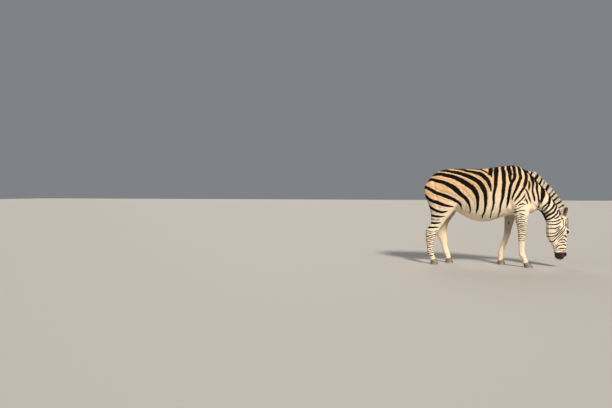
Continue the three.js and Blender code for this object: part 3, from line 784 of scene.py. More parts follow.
def leg_bands(p, n, before, wobble):
    """The legs' bands: a number that grows by one from band to band, and half widths."""
    x, _, z = p.T
    fore = x > FORE_FROM
    out = outness(p, n)
    rung = np.where(fore, (z + 9 * (before / 45) ** 2 + 5 * wobble) / FORE_BANDS,
                    (z - 0.25 * before + 7 * wobble) / HIND_BANDS)
    on_fore = 5.2 + 2.0 * waves(p, 44, 7) - 9 * ramp(z, 345, 300)
    on_fore -= 2 * ramp(before, 34, 52)
    on_fore -= 20 * ramp(z, 655, 690)
    on_hind = 5.4 + 2.4 * waves(p, 45, 8) - 20 * ramp(z, 440, 470) - 6 * ramp(z, 120, 80)
    half = np.where(fore, on_fore, on_hind) - 14 * ramp(out, 0.0, -0.5)
    half -= 20 * ramp(np.abs(before), 78, 96)
    return rung, np.where((z < 700) & (x < NECK_FROM), np.maximum(half, NO_BAND), NO_BAND)


def middle_lines(p, n, dark, wobble):
    """Adds the lines along the back and under the belly, and the rings of the tail's dock."""
    x, y, z = p.T
    aside = np.abs(y)
    back = (x < 430) & (n[:, 2] > 0.3) & (z > 1000)
    dark = np.where(back & (x < -330), np.minimum(dark, aside - 33), dark)
    dark = np.where(back, np.maximum(dark, 21 + 3 * wobble - aside), dark)
    belly = (n[:, 2] < -0.5) & (z > 540) & (z < 760) & (x > -260) & (x < 330)
    dark = np.where(belly, np.maximum(dark, 12 + 3 * wobble - aside), dark)
    dock = (x < -590) & (aside < 45) & (z > 820) & (z < 1150) & (near_line(p, TAIL_DOCK) < 32)
    ring = 8.0 - 5 * ramp(aside, 10, 22)
    ring -= np.abs(((z + 4 * wobble) / DOCK_BANDS) % 1 - 0.5) * DOCK_BANDS
    return np.where(dock, np.maximum(ring, 7 - aside), dark)


def head_stripes(p, n):
    """The head's stripes: on the cheeks, then the face's bands as for the legs."""
    d, f, s = head_frame(p)
    onto = np.column_stack([d, f])
    onto += 2.5 * np.column_stack([waves(p, 60, 10), waves(p, 60, 11)])
    on_face = head_share(p) * ramp(n @ FRONT, 0.2, 0.5)
    spread = 0.5 + 0.75 * np.exp(-((d - 205) / 105) ** 2)
    aside = np.abs(s + 2.0 * waves(p, 90, 12)) / spread
    cheek = depth_in(onto, CHEEK_STRIPES, 30) + 1.2
    cheek = cheek - 30 * ramp(aside, 44, 34) * on_face * ramp(d, 450, 400)
    half = 8.0 + 1.8 * waves(p, 50, 16) - 20 * ramp(aside, 36, 48)
    half -= 20 * ramp(d + 0.7 * aside, 410, 470) + 20 * ramp(d, 30, -10)
    return cheek, aside / FACE_BANDS + 0.5, np.where(on_face > 0.1, half, NO_BAND)


def ear_marks(p, n, hand, dark, skin, wobble):
    """Adds one ear's dark bands, and the bare skin in its cup."""
    root, along, opens = ear_axis(hand)
    up, away = by_ear(p, hand, 0)
    t = up / EAR_LENGTH
    here = (away < 30 + 22 * ramp(t, 0.2, 0.35)) & (t > 0.17) & (t < 1.1)
    in_cup = ramp(n @ opens, 0.1, 0.45) * ramp(t, 0.2, 0.36) * ramp(away, 44, 33)
    band = np.maximum(12 - np.abs(t - 0.4) * EAR_LENGTH, (t - 0.72) * EAR_LENGTH)
    band = np.where(t > 0.96, -6, band) + 2 * wobble
    aside = np.abs((p - root) @ np.cross(along, opens))
    bare = in_cup * (0.97 - 0.45 * ramp(aside, 14, 32))
    return np.where(here, mixed(band, -10, in_cup), dark), np.where(here, bare, skin)


def chestnuts_and_painted_shade(p, n, before):
    """The forelegs' bare chestnuts, and a painted shade inside the upper legs where the belly's shadow
    falls, on a coat that is thinner there.
    """
    x, _, z = p.T
    out = outness(p, n)
    chestnut = np.exp(-(np.hypot(before + 4, (z - 545) / 1.9) / 13) ** 4) * ramp(out, -0.3, -0.7)
    chestnut *= (x > FORE_FROM) & (x < NECK_FROM) & (z < 640)
    # painted shade: the inner upper legs darkened as if in the belly's shadow
    inside = ramp(out, 0.1, -0.35) * ramp(z, 860, 700) * ramp(z, 330, 470)
    return np.maximum(chestnut, 0.46 * inside * (x < NECK_FROM))


def warmth(p):
    """How tan the light coat is: most on the rump and least on the belly and head."""
    x, _, z = p.T
    head, leg = head_share(p), leg_share(p)
    warm = 0.12 + 0.88 * ramp(z, 690, 1080)
    warm *= 1 - 0.25 * ramp(x, -100, 560)
    warm += 0.25 * ramp(x, -250, -420) * ramp(z, 560, 760)
    warm *= 1 - 0.75 * leg
    warm += leg * (0.1 + 0.24 * ramp(z, 520, 260))
    return mixed(warm, 0.1, head) + 0.08 * waves(p, 220, 15)


def markings(p, n):
    """Everything that the coat's colour is made from, at points of the animal."""
    head, leg = head_share(p), leg_share(p)
    before, wobble = before_leg(p), waves(p, 70, 6)
    dark, shade = trunk_stripes(p, n)
    rung, half = leg_bands(p, n, before, wobble)
    dark = middle_lines(p, n, dark, wobble)
    cheek, face_rung, face_half = head_stripes(p, n)
    rung = np.where(head > 0.5, face_rung, rung)
    half = np.maximum(np.where(head > 0.5, face_half, half), NO_BAND)
    dark = np.where(head > 0.9, cheek, np.where(head > 0.1, np.maximum(dark, cheek), dark))
    d, f, _ = head_frame(p)
    rust = ramp(d + 3 * waves(p, 30, 13), 462, 486) * ramp(f, -118, -70) * head
    muzzle = ramp(d + 0.05 * (f + 80) + 5 * waves(p, 50, 14), 498, 512) * head
    skin = muzzle
    for hand in HANDS:
        close, out = eye_oval(p, hand, EYE_SKIN, LID_AREA)
        around = ramp(out + 0.06 * waves(p, 14, 17), 1.15, 0.85)
        skin = np.where(close, np.maximum(skin, around), skin)
        dark, skin = ear_marks(p, n, hand, dark, skin, wobble)
    # the skin share also carries the painted shade inside the upper legs
    skin = np.maximum(skin, chestnuts_and_painted_shade(p, n, before))
    return {
        "dark": dark, "warm": np.clip(warmth(p), 0, 1), "shade": shade * (1 - head) * (1 - leg),
        "rung": rung, "half": half, "skin": np.clip(skin, 0, 1), "rust": rust * (1 - muzzle),
    }


def lie(p, n):
    """The way the hair lies at points of the skin, along the skin."""
    x, _, z = p.T
    rear, shoulder = ramp(x, -480, -640)[:, None], ramp(z, 1000, 780)[:, None]
    way = mixed(np.array([-1, 0, -0.25]), np.array([-0.35, 0, -1]), rear)
    way = way + np.array([0, 0, -0.35]) * shoulder
    way = mixed(way, np.array([-0.87, 0, 0.15]), ramp(x, 540, 700)[:, None])
    way = mixed(way, np.array([-0.22, 0, -1]), leg_share(p)[:, None])
    way = mixed(way, DOWN * 0.94 - FRONT * 0.26, head_share(p)[:, None])
    for hand in HANDS:
        up, away = by_ear(p, hand, 10)
        way = np.where(((away < 46) & (up > 6))[:, None], ear_axis(hand)[1], way)
    way = way + 0.1 * np.column_stack([waves(p, 160, k) for k in (20, 21, 22)])
    return along_skin(way, n)


def grain(p):
    """Coordinates that are drawn out along the hair, for the coat's fine streaks."""

    def drawn_out(way, q):
        way = unit(way)
        side = np.array([0.0, 1.0, 0.0])
        return np.column_stack([0.13 * (q @ way), q @ side, q @ np.cross(way, side)])

    neck_base = np.array([540.0, 0, 950])
    poll = np.array([920.0, 20, 700])
    neck_way = np.array([-0.87, 0, 0.2])
    body = drawn_out(np.array([-1, 0, -0.3]), p - neck_base)
    neck = drawn_out(neck_way, p - neck_base)
    limb = drawn_out(np.array([-0.1, 0, -1]), p - neck_base)
    face = drawn_out(DOWN, p - poll) + drawn_out(neck_way, (poll - neck_base)[None])
    g = mixed(body, neck, ramp(p[:, 0], 500, 700)[:, None])
    g = mixed(g, limb, leg_share(p)[:, None])
    return mixed(g, face, head_share(p)[:, None]) / 1000


marks = markings(P, N)
marks["grain"] = grain(P)
marks["tip"] = np.zeros(len(P))
give(body, marks)

body.data.uv_layers.new(name="OFBake")
bpy.context.view_layer.objects.active = body
body.select_set(True)
bpy.ops.object.mode_set(mode="EDIT")
bpy.ops.mesh.select_all(action="SELECT")
bpy.ops.uv.smart_project(angle_limit=math.radians(66), island_margin=0.002)
bpy.ops.object.mode_set(mode="OBJECT")
rounded(body.data)


# ---- materials
class Net:
    """A material, with short names for the nodes that it is made of."""

    def __init__(self, name):
        self.material = bpy.data.materials.new(name)
        self.material.use_nodes = True
        self.nodes = self.material.node_tree.nodes
        self.links = self.material.node_tree.links
        self.nodes.clear()
        out = self.nodes.new("ShaderNodeOutputMaterial")
        self.shader = self.nodes.new("ShaderNodeBsdfPrincipled")
        self.links.new(self.shader.outputs[0], out.inputs[0])

    def put(self, value, socket):
        """Links or sets one input; a colour is a tuple of three."""
        if isinstance(value, bpy.types.NodeSocket):
            self.links.new(value, socket)
        else:
            socket.default_value = (*value, 1) if isinstance(value, tuple) else value

    def node(self, kind, *values, **settings):
        """A node with its settings and its first inputs."""
        node = self.nodes.new(kind)
        for key, value in settings.items():
            setattr(node, key, value)
        for value, socket in zip(values, node.inputs):
            self.put(value, socket)
        return node

    def surface(self, **values):
        """The surface's own inputs, with _ for the spaces of their names."""
        for key, value in values.items():
            self.put(value, self.shader.inputs[key.replace("_", " ")])

    def value(self, name):
        node = self.node("ShaderNodeAttribute", attribute_name=name)
        return node.outputs["Vector" if name == "grain" else "Fac"]

    def place(self):
        return self.node("ShaderNodeTexCoord").outputs["Object"]

    def noise(self, where, scale, detail):
        w, roughness = 0.0, 0.55
        return self.node("ShaderNodeTexNoise", where, w, scale, detail, roughness).outputs["Fac"]

    def math(self, kind, a, b=0.0, c=0.0):
        return self.node("ShaderNodeMath", a, b, c, operation=kind).outputs[0]

    def add(self, a, b):
        return self.math("ADD", a, b)

    def times(self, a, b):
        return self.math("MULTIPLY", a, b)

    def fit(self, value, a, b, low=0.0, high=1.0):
        return self.node("ShaderNodeMapRange", value, a, b, low, high,
                         interpolation_type="SMOOTHSTEP").outputs[0]

    def mix(self, share, a, b):
        node = self.node("ShaderNodeMix", share, data_type="RGBA")
        self.put(a, node.inputs[6])
        self.put(b, node.inputs[7])
        return node.outputs[2]

    def bump(self, height, strength, distance, under=None):
        node = self.node("ShaderNodeBump", strength, distance)
        self.put(height, node.inputs["Height"])
        if under is not None:
            self.put(under, node.inputs["Normal"])
        return node.outputs[0]


CREAM = (0.90, 0.80, 0.62)
PALE = (0.93, 0.84, 0.68)
TAN = (0.72, 0.42, 0.175)
ROOTS = (0.36, 0.25, 0.15)
SHADOW = (0.30, 0.17, 0.085)
BLACK = (0.0045, 0.0038, 0.0036)
BROWN = (0.030, 0.018, 0.012)
# dark bare skin, also used for the painted shade inside the upper legs
HIDE = (0.020, 0.017, 0.016)
WORN_HIDE = (0.05, 0.04, 0.036)
RUST = (0.36, 0.17, 0.07)
# what one band gap counts as in millimetres, on the legs and on the face alike
RUNG = 29.0


def coat_material(name, bumpiness, roots, tip_shade):
    """The striped coat, for the skin and for all the hair on it."""
    net = Net(name)
    where, streak = net.place(), net.value("grain")
    fine = net.noise(streak, 620, 3)
    broad = net.noise(streak, 150, 2)
    soft = net.noise(where, 28, 3)
    # how far inside a stripe or a band, with ragged edges
    step = net.math("ABSOLUTE", net.math("SUBTRACT", net.math("FRACT", net.value("rung")), 0.5))
    band = net.math("SUBTRACT", net.value("half"), net.times(step, RUNG))
    edge = net.math("MAXIMUM", net.value("dark"), band)
    edge = net.add(edge, net.math("MULTIPLY_ADD", broad, 1.8, -0.9))
    edge = net.add(edge, net.math("MULTIPLY_ADD", fine, 2.4, -1.2))
    light = net.mix(net.value("warm"), CREAM, TAN)
    light = net.mix(net.fit(soft, 0.3, 0.75, 0.0, 0.28), light, TAN)
    light = net.mix(net.fit(broad, 0.25, 0.8, 0.0, 0.3), light, PALE)
    light = net.mix(net.fit(fine, 0.45, 0.2, 0.0, roots), light, ROOTS)
    light = net.mix(net.times(net.value("shade"), 0.48), light, SHADOW)
    light = net.mix(net.times(net.value("rust"), 0.85), light, RUST)
    dark = net.mix(net.fit(broad, 0.45, 0.85, 0.0, 0.5), BLACK, BROWN)
    both = net.mix(net.fit(edge, -1.3, 1.3), light, dark)
    # the skin share darkens to hide: bare skin, and the painted shade inside the upper legs
    both = net.mix(net.value("skin"), both, net.mix(net.fit(soft, 0.3, 0.8), HIDE, WORN_HIDE))
    low = net.bump(fine, 0.5 * bumpiness, 0.0012)
    net.surface(
        Base_Color=net.mix(net.times(net.value("tip"), tip_shade), both, BROWN),
        Roughness=net.fit(broad, 0.2, 0.85, 0.55, 0.78),
        Normal=net.bump(soft, 0.25 * bumpiness, 0.004, low), Specular_IOR_Level=0.05)
    return net.material


SKIN = coat_material("skin", 1.0, 0.2, 0.0)
COAT = coat_material("coat", 0.6, 0.1, 0.0)
FRINGE = coat_material("long_hair", 0.4, 0.3, 0.8)
body.data.materials.append(SKIN)
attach(body, "root")
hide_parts(*FLESH)

# ---- camera and light
CAMERA_PLACE = (0.032, -8.04, 0.95)
CAMERA_TURN = math.radians(17.8)
CAMERA_DIP = math.radians(1.2)
SKY = (0.78, 0.82, 0.88, 1)
FLOOR_REACH = 60
FLOOR_COLOUR = (0.44, 0.41, 0.37)


def aimed(name, data, place, way):
    """A camera or a light at a place, looking one way."""
    obj = bpy.data.objects.new(name, data)
    obj.location = place
    obj.rotation_mode = "QUATERNION"
    obj.rotation_quaternion = Vector(way).to_track_quat("-Z", "Y")
    bpy.context.scene.collection.objects.link(obj)
    return obj


def lamp(name, place, spread, strength, colour):
    """A far soft light that shines from a place towards the animal."""
    light = bpy.data.lights.new(name, "SUN")
    light.angle = math.radians(spread)
    light.energy = strength
    light.color = colour
    aimed(name, light, place, -Vector(place))


scene = bpy.context.scene
lens = bpy.data.cameras.new("camera")
lens.lens = 35.0
lens.sensor_width = 36.0
scene.camera = aimed("camera", lens, CAMERA_PLACE,
                     (-math.sin(CAMERA_TURN), math.cos(CAMERA_TURN), -math.tan(CAMERA_DIP)))
lamp("key", (3.0, -4.2, 3.9), 11, 4.35, (1, 0.95, 0.88))
lamp("fill", (-4.5, -3.2, 1.9), 50, 0.28, (0.92, 0.96, 1))
lamp("back", (-1.5, 4.5, 3.2), 40, 0.72, (1, 0.97, 0.93))
world = bpy.data.worlds.new("studio")
world.use_nodes = True
sky = world.node_tree.nodes["Background"].inputs
sky["Color"].default_value = SKY
sky["Strength"].default_value = 0.27
scene.world = world
scene.view_settings.view_transform = "Standard"

corners = [(-1, -1, 0), (1, -1, 0), (1, 1, 0), (-1, 1, 0)]
floor = make("floor", np.array(corners, float) * FLOOR_REACH, np.array([(0, 1, 2), (0, 2, 3)]))
ground = Net("floor")
ground.surface(Base_Color=FLOOR_COLOUR, Roughness=0.8)
floor.data.materials.append(ground.material)


# ---- hair
# a tuft's patch on the map: half its width, and its height
PATCH_HALF = 0.0011
PATCH_HEIGHT = 0.0028
NO_STRIPE = -20.0


def locks(path, across, width, flat):
    """Three-sided locks that end in a point. path is lock by place by xyz."""
    count, places = path.shape[:2]
    along = np.gradient(path, axis=1)
    across = across[:, None, :]
    over = unit(np.cross(unit(along), across))
    across = np.broadcast_to(across, path.shape)
    w, h = width[:, :, None] / 2, (width * flat)[:, :, None]
    ring = np.stack([path - across * w, path + across * w, path + over * h], axis=2)
    v = np.concatenate([ring[:, :-1].reshape(count, -1, 3), path[:, -1:]], axis=1)
    per = v.shape[1]
    sides = ((0, 1), (1, 2), (2, 0))
    t = [(0, 1, 2)]
    for i in range(places - 2):
        for a, b in sides:
            p, q = 3 * i + a, 3 * i + b
            t += [(p, p + 3, q), (q, p + 3, q + 3)]
    last = 3 * (places - 2)
    t += [(last + a, per - 1, last + b) for a, b in sides]
    t = np.array(t)[None] + (np.arange(count) * per)[:, None, None]
    k = np.append(np.repeat(np.arange(places - 1), 3), places - 1) / (places - 1)
    return v.reshape(-1, 3), t.reshape(-1, 3), np.tile(k, count), per


def curved(root, way, bend, size, places):
    """Paths from their roots along a way that bends, for each place from root to tip."""
    return np.stack([root + (way * t + bend * t * t) * size
                     for t in np.linspace(0, 1, places)], axis=1)


def tapered(wide, taper, count):
    """Widths from root to tip, for locks of different sizes."""
    return wide * np.array([taper]) * RANDOM.uniform(0.7, 1.3, (count, 1))


def hair_piece(name, path, across, width, flat, values, uv, mat=FRINGE,
               replaced=()):
    """Locks as one object, each with its root's markings and place on the map."""
    v, t, k, per = locks(path, across, width, flat)
    obj = make(name, row(v), t)
    values = {key: np.repeat(value, per, axis=0) for key, value in values.items()}
    values["tip"] = ramp(k, 0.45, 1.0) * values["tip"]
    give(obj, values)
    layer = obj.data.uv_layers.new(name="OFBake")
    small = np.column_stack([np.resize([-1, 1, 0], len(k)) * PATCH_HALF,
                             k * PATCH_HEIGHT - PATCH_HEIGHT / 2])
    spot = np.repeat(uv, per, axis=0) + small
    layer.data.foreach_set("uv", spot[t.ravel()].astype(np.float32).ravel())
    obj.data.materials.append(mat)
    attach(obj, "root")
    if replaced:
        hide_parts(*replaced)


T = arrays(body.data)[1]
UV = np.empty(len(T) * 6, np.float32)
body.data.uv_layers["OFBake"].data.foreach_get("uv", UV)
UV = UV.reshape(-1, 3, 2)
LIE = lie(P, N)
SURFACE = BVHTree.FromPolygons(row(P).tolist(), T.tolist())


def on_skin(face, share, values):
    """Vertex values at a place on each face."""
    part = values[T[face]]
    share = share.reshape(share.shape + (1,) * (part.ndim - 2))
    return (part * share).sum(axis=1)


def seed(weight, count):
    """Roots sown on the skin by weight, with their normals, ways, markings and map places."""
    total = np.cumsum(weight)
    face = np.searchsorted(total, (np.arange(count) + RANDOM.random(count)) / count * total[-1])
    a, b = RANDOM.random((2, count))
    a, b = np.where(a + b > 1, 1 - a, a), np.where(a + b > 1, 1 - b, b)
    face, share = np.minimum(face, len(T) - 1), np.column_stack([1 - a - b, a, b])
    values = {key: on_skin(face, share, value) for key, value in marks.items()}
    uv = (UV[face] * share[:, :, None]).sum(axis=1)
    way = on_skin(face, share, LIE)
    return on_skin(face, share, P), unit(on_skin(face, share, N)), way, values, uv


FACE_AREA = np.linalg.norm(
    np.cross(P[T[:, 1]] - P[T[:, 0]], P[T[:, 2]] - P[T[:, 0]]), axis=1) / 2
MIDDLE = P[T].mean(axis=1)
# the skin share per face: bare skin, and the painted shade inside the upper legs, which stays under the
# limit for tufts
BARE_SKIN_AND_PAINTED_SHADE = marks["skin"][T].mean(axis=1)
HEAD_FACE, LEG_FACE = head_share(MIDDLE), leg_share(MIDDLE)
NECK_FACE = ramp(MIDDLE[:, 0], 520, 620) * (1 - HEAD_FACE)
COATED = BARE_SKIN_AND_PAINTED_SHADE <= 0.5
for hand in HANDS:
    close, out = eye_oval(MIDDLE, hand, EYE_BARE, 40)
    COATED &= ~(close & (out < 1))


def tufts(name, place, count, long, wide, rise):
    """Short tufts that lie along the skin, over one part of the body."""
    root, n, way, values, uv = seed(FACE_AREA * place * COATED, count)
    way = along_skin(unit(way + 0.16 * RANDOM.normal(size=(count, 3))), n)
    size = long * RANDOM.uniform(0.7, 1.3, (count, 1))
    lift = rise * RANDOM.uniform(0.5, 1.4, (count, 1))
    root = root - n * 0.5
    mid = root + way * size * 0.45 + n * (0.5 + lift * 0.75)
    tip = root + way * size + n * (0.4 + lift)
    width = tapered(wide, (1.0, 0.8, 0), count)
    values["shade"] = values["shade"] + RANDOM.uniform(0, 0.07, count)
    hair_piece(name, np.stack([root, mid, tip], axis=1), np.cross(n, way), width, 0.22,
               values, uv, COAT)


trunk = (1 - HEAD_FACE) * (1 - LEG_FACE) * (1 - NECK_FACE)
croup_part = trunk * (MIDDLE[:, 0] < -230)
fore_part = trunk * (MIDDLE[:, 0] > 180)
in_fore = MIDDLE[:, 0] > FORE_FROM
# how many, then their length, width and rise in millimetres
tufts("coat_croup", croup_part, 19000, 17, 1.15, 0.7)
tufts("coat_barrel", trunk - croup_part - fore_part, 18000, 17, 1.15, 0.7)
tufts("coat_shoulders", fore_part, 18000, 16, 1.1, 0.7)
tufts("coat_neck", NECK_FACE, 18000, 14, 1.05, 0.7)
tufts("coat_head", HEAD_FACE, 19500, 6.2, 0.75, 0.4)
tufts("coat_forelegs", LEG_FACE * in_fore, 17000, 9, 0.95, 0.5)
tufts("coat_hindlegs", LEG_FACE * ~in_fore, 17000, 9, 0.95, 0.5)


def at_skin(points, way):
    """Where rays from points meet the skin, and that place on the map."""
    spots, uvs = [], []
    for p, w in zip(row(points), way):
        hit, _, face, _ = SURFACE.ray_cast(Vector(p), Vector(w))
        if hit is None:
            hit, _, face, _ = SURFACE.find_nearest(Vector(p))
        spots.append(hit)
        uvs.append(UV[face].mean(axis=0))
    return animal(np.array(spots)), np.array(uvs)


# ---- mane
MANE_HEIGHT = 84
MANE_LOCKS = 5200
MANE_FROM = 0.14
MANE_LEAN = 0.46
CREST_LENGTH = 750
# the dark bands of the mane: share of the way from withers to poll, half width
MANE_BANDS = [
    (0.150, 20), (0.235, 13), (0.340, 20), (0.402, 5), (0.446, 13), (0.512, 5), (0.590, 16),
    (0.680, 6), (0.735, 11), (0.803, 12), (0.876, 11), (0.948, 12), (1.0, 5),
]
LONG_TAPER = (0.8, 1.0, 0.95, 0.8, 0.55, 0)
HAIR_TAPER = (0.8, 1, 0.8, 0.5, 0)


def crest(k):
    """A place on the neck's crest, the way along it and the way out of it."""
    line = thread(CREST, 12)
    step = np.linalg.norm(np.diff(line, axis=0), axis=1)
    far = np.concatenate([[0], np.cumsum(step)]) / step.sum()
    along = unit(at_share(line, far, k + 0.01) - at_share(line, far, k - 0.01))
    return at_share(line, far, k), along, unit(np.column_stack([-along[:, 2], 0 * k, along[:, 0]]))


k = RANDOM.uniform(MANE_FROM, 1.0, MANE_LOCKS)
spot, along, out = crest(k)
lateral = unit(np.cross(out, along))
off = np.clip(RANDOM.normal(0, 8.5, MANE_LOCKS), -17, 17)[:, None]
root, uv = at_skin(spot + out * 50 + lateral * off, -out)
height = MANE_HEIGHT * np.interp(k, (MANE_FROM, 0.2, 0.285, 0.4), (0.1, 0.38, 0.88, 1.04))
height = height * (1 - 0.12 * ramp(k, 0.9, 1.0)) * RANDOM.uniform(0.82, 1.04, MANE_LOCKS)
height = height[:, None] * (1 - 0.0006 * off ** 2)
lean = MANE_LEAN * ramp(k, 0.55, 0.95) - MANE_LEAN
way = unit(out - lateral * off / 75
           + along * (lean + RANDOM.normal(0, 0.06, MANE_LOCKS))[:, None]
           + lateral * RANDOM.normal(0, 0.05, (MANE_LOCKS, 1)))
bend = along * RANDOM.normal(0.02, 0.06, (MANE_LOCKS, 1))
width = tapered(4.6, LONG_TAPER, MANE_LOCKS)
values = markings(root - out * 5, unit(lateral * np.sign(off)))
values["grain"] = grain(root)
values["dark"] = np.max([half - np.abs(k - at) * CREST_LENGTH for at, half in MANE_BANDS], axis=0)
values["dark"] += RANDOM.normal(0, 1.5, MANE_LOCKS)
values["half"] = np.full(MANE_LOCKS, NO_BAND)
values["warm"] = np.full(MANE_LOCKS, 0.12)
values["tip"] = 0.1 + 0.45 * RANDOM.random(MANE_LOCKS)
values["shade"] = RANDOM.uniform(0, 0.25, MANE_LOCKS)
hair_piece("mane_locks", curved(root - out * 3, way, bend, height, len(LONG_TAPER)),
           unit(along + 0.4 * RANDOM.normal(size=along.shape)), width, 0.45, values, uv,
           replaced=("mane",))

# ---- forelock
FORELOCK_LENGTH = 88
FORELOCKS = 700
down = RANDOM.uniform(-16, 66, FORELOCKS)
off = np.clip(RANDOM.normal(0, 10, FORELOCKS), -20, 20)
start = np.array([on_head(a, 40, b) for a, b in zip(down, off)])
root, uv = at_skin(start, np.tile(-FRONT, (FORELOCKS, 1)))
long = (FORELOCK_LENGTH - 0.35 * np.abs(down - 10)) * RANDOM.uniform(0.7, 1.0, FORELOCKS)
way = unit(FRONT * 0.62 + DOWN * 0.55 + SIDE * (off / 90)[:, None]
           + 0.06 * RANDOM.normal(size=(FORELOCKS, 3)))
bend = -FRONT * 0.5 + DOWN * 0.35
width = tapered(3.8, LONG_TAPER, FORELOCKS)
values = markings(root, np.tile(FRONT, (FORELOCKS, 1)))
values["dark"] = 9 - np.abs(off) + 3 * RANDOM.normal(size=FORELOCKS)
values["half"] = np.full(FORELOCKS, NO_BAND)
values["grain"] = grain(root)
values["tip"] = 0.8 + 0.4 * RANDOM.random(FORELOCKS)
path = curved(root - FRONT * 2, way, bend, 0.85 * long[:, None], len(LONG_TAPER))
hair_piece("forelock_locks", path, unit(SIDE + 0.4 * RANDOM.normal(size=(FORELOCKS, 3))),
           width, 0.45, values, uv, replaced=("forelock",))

# ---- hair in the ears
EAR_HAIRS = 560


def ear_hair(hand, side_name):
    """Pale hairs from the sides of an ear's cup."""
    ear_root, ear_way, opens = ear_axis(hand)
    across = np.cross(ear_way, opens)
    rel = MIDDLE - ear_root
    high, aside = rel @ ear_way / EAR_LENGTH, np.abs(rel @ across)
    cup = (N[T].mean(axis=1) @ opens > 0.0) & (np.linalg.norm(rel, axis=1) < 190)
    cup = cup & (high > 0.1) & (high < 0.86) & (aside < 46)
    root, n, _, values, uv = seed(FACE_AREA * cup * (0.04 + (aside / 34) ** 4), EAR_HAIRS)
    inward = -np.sign((root - ear_root) @ across)[:, None] * across
    way = unit(ear_way + inward * 0.4 + 0.12 * RANDOM.normal(size=(EAR_HAIRS, 3)))
    size = RANDOM.uniform(14, 38, (EAR_HAIRS, 1))
    path = curved(root - n, way, -inward * 0.15, size, len(HAIR_TAPER))
    width = tapered(1.3, HAIR_TAPER, EAR_HAIRS)
    for key, value in (("dark", NO_STRIPE), ("half", NO_BAND), ("skin", 0.0), ("tip", 0.0)):
        values[key] = np.full(EAR_HAIRS, value)
    hair_piece(f"ear_hair_{side_name}", path, unit(np.cross(way, opens)), width, 0.6, values, uv)


for hand, side_name in SIDES:
    ear_hair(hand, side_name)

# ---- tail
TAIL = np.array([
    (-668, 0, 1050), (-682, 0, 970), (-675, 2, 890), (-650, 4, 812), (-624, 5, 740),
    (-606, 6, 650), (-600, 7, 560), (-606, 8, 468),
], float)
TAIL_LOCKS = 1500
TAIL_TAPER = (0.8, 1, 1, 1, 0.9, 0.8, 0.65, 0.45, 0)
# how wide the tuft is, at shares of the tail's length
TAIL_SHARES = (0, 0.2, 0.45, 0.6, 0.8, 0.95, 1)
TAIL_RADII = (10, 12, 16, 21, 25, 19, 8)
line = thread(TAIL, 8)
places = len(TAIL_TAPER)
start = RANDOM.uniform(0.18, 0.62, TAIL_LOCKS)
end = np.clip(start + RANDOM.uniform(0.28, 0.5, TAIL_LOCKS), 0, RANDOM.uniform(0.8, 1.0, TAIL_LOCKS))
angle = RANDOM.uniform(0, 2 * math.pi, TAIL_LOCKS)
k = start[:, None] + (end - start)[:, None] * np.linspace(0, 1, places)
broad = np.interp(k, TAIL_SHARES, TAIL_RADII) * RANDOM.uniform(0.5, 1.05, (TAIL_LOCKS, 1))
broad[:, 0] = 9
off = np.column_stack([np.cos(angle), np.sin(angle), 0 * angle])
path = at_share(line, np.linspace(0, 1, len(line)), k) + broad[:, :, None] * off[:, None]
path[:, 1:] += RANDOM.normal(size=(TAIL_LOCKS, places - 1, 3)) * 1.3
_, uv = at_skin(path[:, 0], np.tile([0.0, 0, 1], (TAIL_LOCKS, 1)))
width = tapered(4.2, TAIL_TAPER, TAIL_LOCKS)
flank = np.column_stack([-np.sin(angle), np.cos(angle), 0 * angle])
pale = (np.abs(np.sin(angle)) > 0.75) & (start < 0.42) & (RANDOM.random(TAIL_LOCKS) < 0.75)
values = {
    "dark": np.where(pale, NO_STRIPE, -NO_STRIPE), "warm": np.full(TAIL_LOCKS, 0.3),
    "shade": RANDOM.uniform(0, 0.4, TAIL_LOCKS), "rung": np.zeros(TAIL_LOCKS),
    "half": np.full(TAIL_LOCKS, NO_BAND), "skin": np.zeros(TAIL_LOCKS),
    "rust": np.zeros(TAIL_LOCKS), "grain": grain(path[:, 0]) + RANDOM.random((TAIL_LOCKS, 3)),
    "tip": np.where(pale, 0.5, 0.9),
}
hair_piece("tail_locks", path, flank, width, 0.5, values, uv, replaced=("tail_tuft",))

# ---- eyes
# millimetres: the iris, and half the slot of the pupil
IRIS = 13.9
PUPIL_LONG = 8.0
PUPIL_HIGH = 4.2
CORNEA_RISE = 1.1
RIM_RADIUS = 1.35
LASHES = 32


def eye_material():
    """A wet eye: a dark iris with a level pupil, a darker ring, and brown white."""
    net = Net("eye")
    u, v = net.value("eye_u"), net.value("eye_v")
    radius = net.math("SQRT", net.add(net.times(u, u), net.times(v, v)))
    wide, high = net.math("DIVIDE", u, PUPIL_LONG), net.math("DIVIDE", v, PUPIL_HIGH)
    pupil = net.add(net.times(wide, wide), net.times(high, high))
    fibre = net.noise(net.place(), 900, 2)
    streaks = net.fit(fibre, 0.3, 0.7)
    iris = net.mix(streaks, (0.045, 0.020, 0.009), (0.13, 0.062, 0.025))
    white = net.mix(streaks, (0.20, 0.14, 0.10), (0.33, 0.26, 0.20))
    colour = net.mix(net.fit(radius, IRIS - 0.7, IRIS + 0.7), iris, white)
    ring = net.fit(radius, IRIS + 1.3, IRIS - 1.5, 0.0, 0.5)
    colour = net.mix(ring, colour, (0.008, 0.006, 0.005))
    colour = net.mix(net.fit(pupil, 1.25, 0.8), colour, (0.003, 0.003, 0.004))
    net.surface(Base_Color=colour, Roughness=net.fit(fibre, 0.2, 0.8, 0.06, 0.12),
                Normal=net.bump(fibre, 0.05, 0.0003), Coat_Weight=1.0, Coat_Roughness=0.03)
    return net.material


def lid_material():
    """Damp dark skin, for the lids' rims and the lashes."""
    net = Net("lid")
    damp = net.noise(net.place(), 500, 3)
    net.surface(Base_Color=net.mix(damp, (0.012, 0.010, 0.010), (0.035, 0.027, 0.024)),
                Roughness=net.fit(damp, 0.3, 0.7, 0.28, 0.5),
                Normal=net.bump(damp, 0.3, 0.0006))
    return net.material


